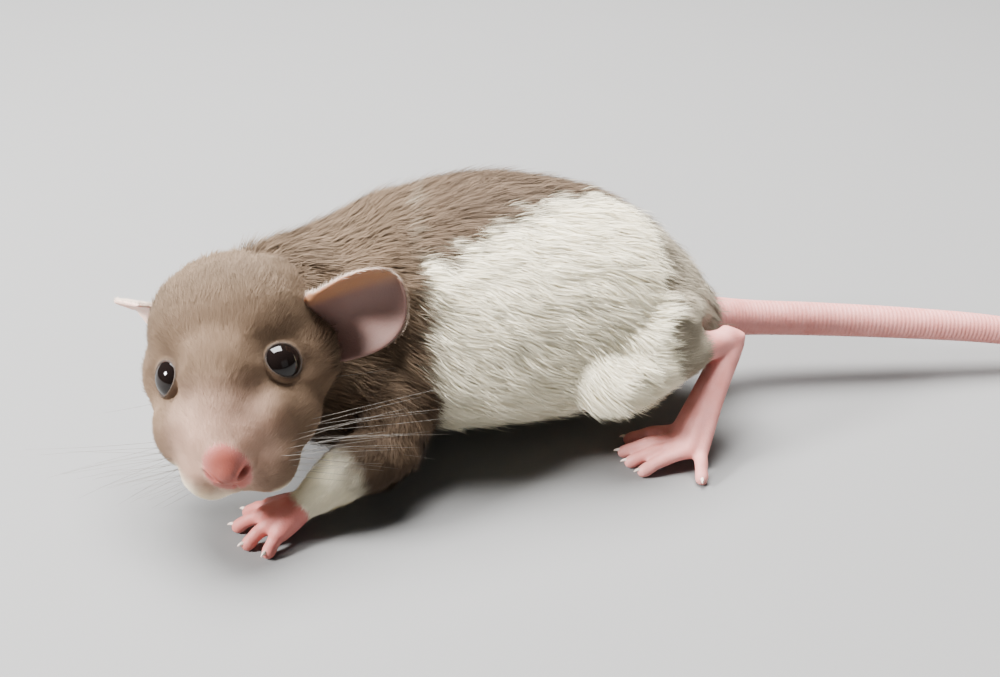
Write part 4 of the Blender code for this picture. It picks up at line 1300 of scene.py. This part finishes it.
def coat_tree(short, long, finish):
    """Tufts over one band of the skin, along the lie of the coat."""
    nodes = Nodes(
        "coat",
        (
            ("Geometry", "NodeSocketGeometry"),
            ("Band", "NodeSocketInt"),
            ("Density", "NodeSocketFloat"),
            ("Width", "NodeSocketFloat"),
            ("Seed", "NodeSocketInt"),
        ),
    )
    chosen = nodes.node(
        "FunctionNodeCompare",
        {"data_type": "INT", "operation": "EQUAL"},
        {2: nodes.named("band", "INT"), 3: nodes.given("Band")},
    )
    thick = nodes.maths("MULTIPLY", nodes.named("thick"), nodes.given("Density"))
    scatter = nodes.tree.nodes.new("GeometryNodeDistributePointsOnFaces")
    scatter.distribute_method = "RANDOM"
    nodes.tree.links.new(nodes.given("Geometry"), scatter.inputs["Mesh"])
    nodes.tree.links.new(chosen, scatter.inputs["Selection"])
    nodes.tree.links.new(thick, scatter.inputs["Density"])
    nodes.tree.links.new(nodes.given("Seed"), scatter.inputs["Seed"])
    spot = nodes.named("OFBake", "FLOAT_VECTOR")
    points = nodes.stored(scatter.outputs["Points"], "root", spot, "FLOAT_VECTOR")
    points = nodes.stored(points, "tone", nodes.chance(0.0, 1.0, 21))
    turn = nodes.node(
        "FunctionNodeAxesToRotation",
        {"primary_axis": "Z", "secondary_axis": "Y"},
        {0: scatter.outputs["Normal"], 1: nodes.named("way", "FLOAT_VECTOR")},
    )
    jitter = nodes.chance((-0.10, -0.24, -0.18), (0.10, 0.24, 0.18), 22, "FLOAT_VECTOR")
    turn = nodes.node(
        "FunctionNodeRotateRotation", {"rotation_space": "LOCAL"}, {"Rotation": turn, "Rotate By": jitter}
    )
    reach = nodes.maths("MULTIPLY", nodes.named("length"), nodes.chance(0.66 * MM, 1.16 * MM, 23))
    lift = nodes.maths("POWER", nodes.chance(0.0, 1.0, 24), 5.0)
    lift = nodes.maths("MULTIPLY_ADD", lift, STRAY_RISE, 0.85)
    rise = nodes.maths("MULTIPLY", reach, lift)
    wide = nodes.maths("MULTIPLY", nodes.given("Width"), nodes.named("fine"))
    size = nodes.node("ShaderNodeCombineXYZ", {}, {0: wide, 1: reach, 2: rise})
    about = nodes.maths("ADD", nodes.named("length"), nodes.chance(-0.5, 0.5, 25))
    is_short = nodes.node("FunctionNodeCompare", {"operation": "LESS_THAN"}, {0: about, 1: SHORT_HAIR})
    is_long = nodes.node("FunctionNodeBooleanMath", {"operation": "NOT"}, {0: is_short})
    grown = nodes.tree.nodes.new("GeometryNodeJoinGeometry")
    for kinds, chosen in ((short, is_short), (long, is_long)):
        bundle = nodes.tree.nodes.new("GeometryNodeJoinGeometry")
        for made in kinds:
            shown = {"Object": made, "As Instance": True}
            shown = nodes.node("GeometryNodeObjectInfo", {}, shown, "Geometry")
            nodes.tree.links.new(shown, bundle.inputs[0])
        tufts = nodes.node(
            "GeometryNodeInstanceOnPoints",
            {},
            {
                "Points": points,
                "Selection": chosen,
                "Instance": bundle.outputs[0],
                "Pick Instance": True,
                "Rotation": turn,
                "Scale": size,
            },
        )
        nodes.tree.links.new(tufts, grown.inputs[0])
    tufts = grown.outputs[0]
    made = nodes.node("GeometryNodeRealizeInstances", {}, {"Geometry": tufts})
    corner = nodes.vector_maths("SCALE", {0: nodes.named("patch", "FLOAT_VECTOR"), "Scale": PATCH_SIZE})
    corner = nodes.vector_maths("ADD", {0: nodes.named("root", "FLOAT_VECTOR"), 1: corner})
    made = nodes.node("GeometryNodeRemoveAttribute", {}, {"Geometry": made, "Name": "OFBake"})
    made = nodes.stored(made, "OFBake", corner, "FLOAT2", "CORNER")
    marks = ("root", "patch", "way", "length", "share", "thick", "fine", "band", "along")
    for name in (*marks, "tail", "bare", "fold", "cup", "pale", "deep", "nose", "pit"):
        made = nodes.node("GeometryNodeRemoveAttribute", {}, {"Geometry": made, "Name": name})
    made = nodes.node("GeometryNodeSetMaterial", {}, {"Geometry": made, "Material": finish})
    nodes.tree.links.new(made, nodes.out.inputs["Geometry"])
    return nodes


class RAT_OT_coat(bpy.types.Operator):
    """Grows the coat as thin tufts that lie along the body"""

    bl_idname = "rat.coat"
    bl_label = "Coat"

    def execute(self, context):
        props = context.scene.rat_coat
        skin = SPOTS["skin"]
        faces = props.faces
        bands, density = self.share_out(skin.data, faces)
        long = [
            long_blade("tuft_" + word, sway, rise)
            for word, sway, rise in (("a", 0.0, 0.19), ("b", 0.5, 0.15), ("c", -0.6, 0.24))
        ]
        short = [
            blade("tuft_d", ((-0.5, 0, 0), (0.5, 0, 0), (0.3, 1, 0.27)), ((0, 1, 2),)),
            blade("tuft_e", ((-0.5, 0, 0), (0.5, 0, 0), (-0.5, 1, 0.22)), ((0, 1, 2),)),
        ]
        nodes = coat_tree(short, long, coat_finish(SkinAndCoat(context.scene.rat_skin, props)))
        for band in range(bands):
            coat = bpy.data.objects.new(f"coat_{band + 1}", skin.data.copy())
            context.scene.collection.objects.link(coat)
            grow = coat.modifiers.new("grow", "NODES")
            grow.node_group = nodes.tree
            for label, value in (
                ("Band", band),
                ("Density", density),
                ("Width", props.width * MM * 1),
                ("Seed", 40 + band),
            ):
                grow[nodes.keys[label]] = value
            made_plain(coat)
            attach(coat, BODY)
        for obj in (*short, *long):
            bpy.data.objects.remove(obj)
        return {"FINISHED"}

    def share_out(self, mesh, faces):
        """Marks bands of the skin from head to tail, each with few enough faces for one piece."""
        count = len(mesh.polygons)
        corners = np.empty(count * 3, np.int32)
        mesh.loops.foreach_get("vertex_index", corners)
        corners = corners.reshape(-1, 3)
        areas = np.empty(count, np.float32)
        mesh.polygons.foreach_get("area", areas)
        share, length = np.empty(len(mesh.vertices), np.float32), np.empty(len(mesh.vertices), np.float32)
        mesh.attributes["share"].data.foreach_get("value", share)
        mesh.attributes["length"].data.foreach_get("value", length)
        thick = share * np.clip(3.2 / np.maximum(length, 0.5), 0.75, 4.2)
        set_field(mesh, "thick", thick)
        set_field(mesh, "fine", np.clip(0.50 + 0.12 * length, 0.6, 1.0))
        each = thick * np.where(length < SHORT_HAIR, 1, 3)
        wanted = areas * each[corners].mean(axis=1)
        density = faces / wanted.sum()
        middles = points_of(mesh)[corners].mean(axis=1)
        order = np.argsort(middles[:, 0] + 0.35 * middles[:, 1])
        bands = max(1, math.ceil(faces / BAND_FACES))
        rank = np.cumsum(wanted[order]) / wanted.sum() * bands
        band = np.empty(count, np.int32)
        band[order] = np.minimum(rank.astype(int), bands - 1)
        field = mesh.attributes.new("band", "INT", "FACE")
        field.data.foreach_set("value", band)
        return bands, float(density)


class RAT_OT_whiskers(bpy.types.Operator):
    """Sets the whiskers in rows on both pads, with one on each cheek"""

    bl_idname = "rat.whiskers"
    bl_label = "Whiskers"

    def execute(self, context):
        rng = np.random.default_rng(8)
        tree = tree_of(SPOTS["skin"].data)
        work = bmesh.new()
        for side in (1, -1):
            for row in range(WHISKER_ROWS):
                for column in range(WHISKER_COLUMNS):
                    place = np.array((11.0 - column * 1.05, 0, -4.6 - row * 1.05 - column * 0.14))
                    long = 7.0 + column * 2.1 + rng.uniform(-1.2, 1.2) - row * 0.4
                    self.hair(work, tree, rng, place, side, long, 0.16 - row * 0.13, WHISKER_RADIUS)
            self.hair(work, tree, rng, np.array((-1.0, 0, -6.0)), side, 8.0, 0.0, 0.016)
        whiskers = new_object("whiskers", work)
        whiskers.data.shade_smooth()
        whiskers.data.materials.append(
            plain_finish("rat_whisker", (0.17, 0.15, 0.125), (0.11, 0.095, 0.08), 300, roughness=0.4)
        )
        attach(whiskers, BODY)
        return {"FINISHED"}

    def hair(self, work, tree, rng, place, side, long, drop, radius):
        """One whisker: it leaves the pad sideways and sweeps back in one easy curve."""
        start = head_spot(place)
        hit = tree.ray_cast(Vector(in_metres(start)), Vector(mirrored((0, 1, 0), side) @ HEAD_AXES))
        root = np.array(hit[0]) / MM - SHIFT
        out = np.array((0.05 + rng.uniform(-0.15, 0.15), 1.0, drop + rng.uniform(-0.08, 0.08)))
        back = np.array((-0.25, 1.0, drop - 0.35)) + rng.uniform(-0.12, 0.12, 3)
        spot, path = root.copy(), []
        for t in np.linspace(0, 1, 13):
            path.append((*spot, radius * (1 - t) ** 0.8 + 0.008))
            way = unit(unit(out) * (1 - t) + unit(back) * t)
            spot = spot + mirrored(way, side) @ HEAD_AXES * long / 12
            spot[2] = max(spot[2], 0.3)
        add_tube(work, path, 5)


class RAT_OT_stage(bpy.types.Operator):
    """Sets the floor, the lights and the camera"""

    bl_idname = "rat.stage"
    bl_label = "Stage"

    def execute(self, context):
        props = context.scene.rat_stage
        work = bmesh.new()
        bmesh.ops.create_grid(work, x_segments=1, y_segments=1, size=3.0)
        floor = new_object("floor", work)
        duller = tuple(0.97 * share for share in props.floor)
        finish = plain_finish("plain_floor", tuple(props.floor), duller, 40, roughness=0.9)
        floor.data.materials.append(finish)
        middle = Vector(LIT_PLACE)
        for name, place, energy, size in (
            ("window", (-0.45, -0.15, 0.28), props.window, 0.09),
            ("sky", (-0.12, 0.16, 0.62), props.top, 0.45),
            ("fill", (0.55, -0.60, 0.30), props.fill, 0.50),
        ):
            data = bpy.data.lights.new(name, "AREA")
            data.energy = energy
            data.size = size
            light = bpy.data.objects.new(name, data)
            light.location = place
            light.rotation_mode = "QUATERNION"
            light.rotation_quaternion = (middle - Vector(place)).to_track_quat("-Z", "Y")
            context.scene.collection.objects.link(light)
        world = bpy.data.worlds.new("studio")
        world.use_nodes = True
        shade = world.node_tree.nodes["Background"]
        shade.inputs["Color"].default_value = (0.96, 0.97, 1.0, 1)
        shade.inputs["Strength"].default_value = props.sky
        context.scene.world = world
        data = bpy.data.cameras.new("camera")
        data.sensor_width = 36
        data.lens = CAMERA_LENS
        data.clip_start = 0.005
        camera = bpy.data.objects.new("camera", data)
        camera.location = in_metres(CAMERA_PLACE)
        camera.rotation_euler = (math.radians(CAMERA_TURN), 0, 0)
        context.scene.collection.objects.link(camera)
        context.scene.camera = camera
        return {"FINISHED"}


class RAT_PT_panel(bpy.types.Panel):
    bl_idname = "RAT_PT_panel"
    bl_label = "Rat"
    bl_space_type = "VIEW_3D"
    bl_region_type = "UI"
    bl_category = "Rat"

    def draw(self, context):
        for step in STEPS:
            self.layout.operator(step.bl_idname)
        for group in ("rat_skin", "rat_coat", "rat_stage"):
            for key in getattr(context.scene, group).__annotations__:
                self.layout.prop(getattr(context.scene, group), key)


GROUPS = (("rat_skin", RAT_PG_skin), ("rat_coat", RAT_PG_coat), ("rat_stage", RAT_PG_stage))
STEPS = (RAT_OT_skin, RAT_OT_eyes, RAT_OT_claws, RAT_OT_coat, RAT_OT_whiskers, RAT_OT_stage)


def register():
    for name, group in GROUPS:
        bpy.utils.register_class(group)
        setattr(bpy.types.Scene, name, bpy.props.PointerProperty(type=group))
    for step in (*STEPS, RAT_PT_panel):
        bpy.utils.register_class(step)


def unregister():
    for step in reversed((*STEPS, RAT_PT_panel)):
        bpy.utils.unregister_class(step)
    for name, group in reversed(GROUPS):
        delattr(bpy.types.Scene, name)
        bpy.utils.unregister_class(group)


def main():
    register()
    bpy.ops.rat.stage()
    bpy.ops.rat.skin()
    bpy.ops.rat.eyes()
    bpy.ops.rat.claws()
    bpy.ops.rat.coat()
    bpy.ops.rat.whiskers()


if __name__ == "__main__":
    main()
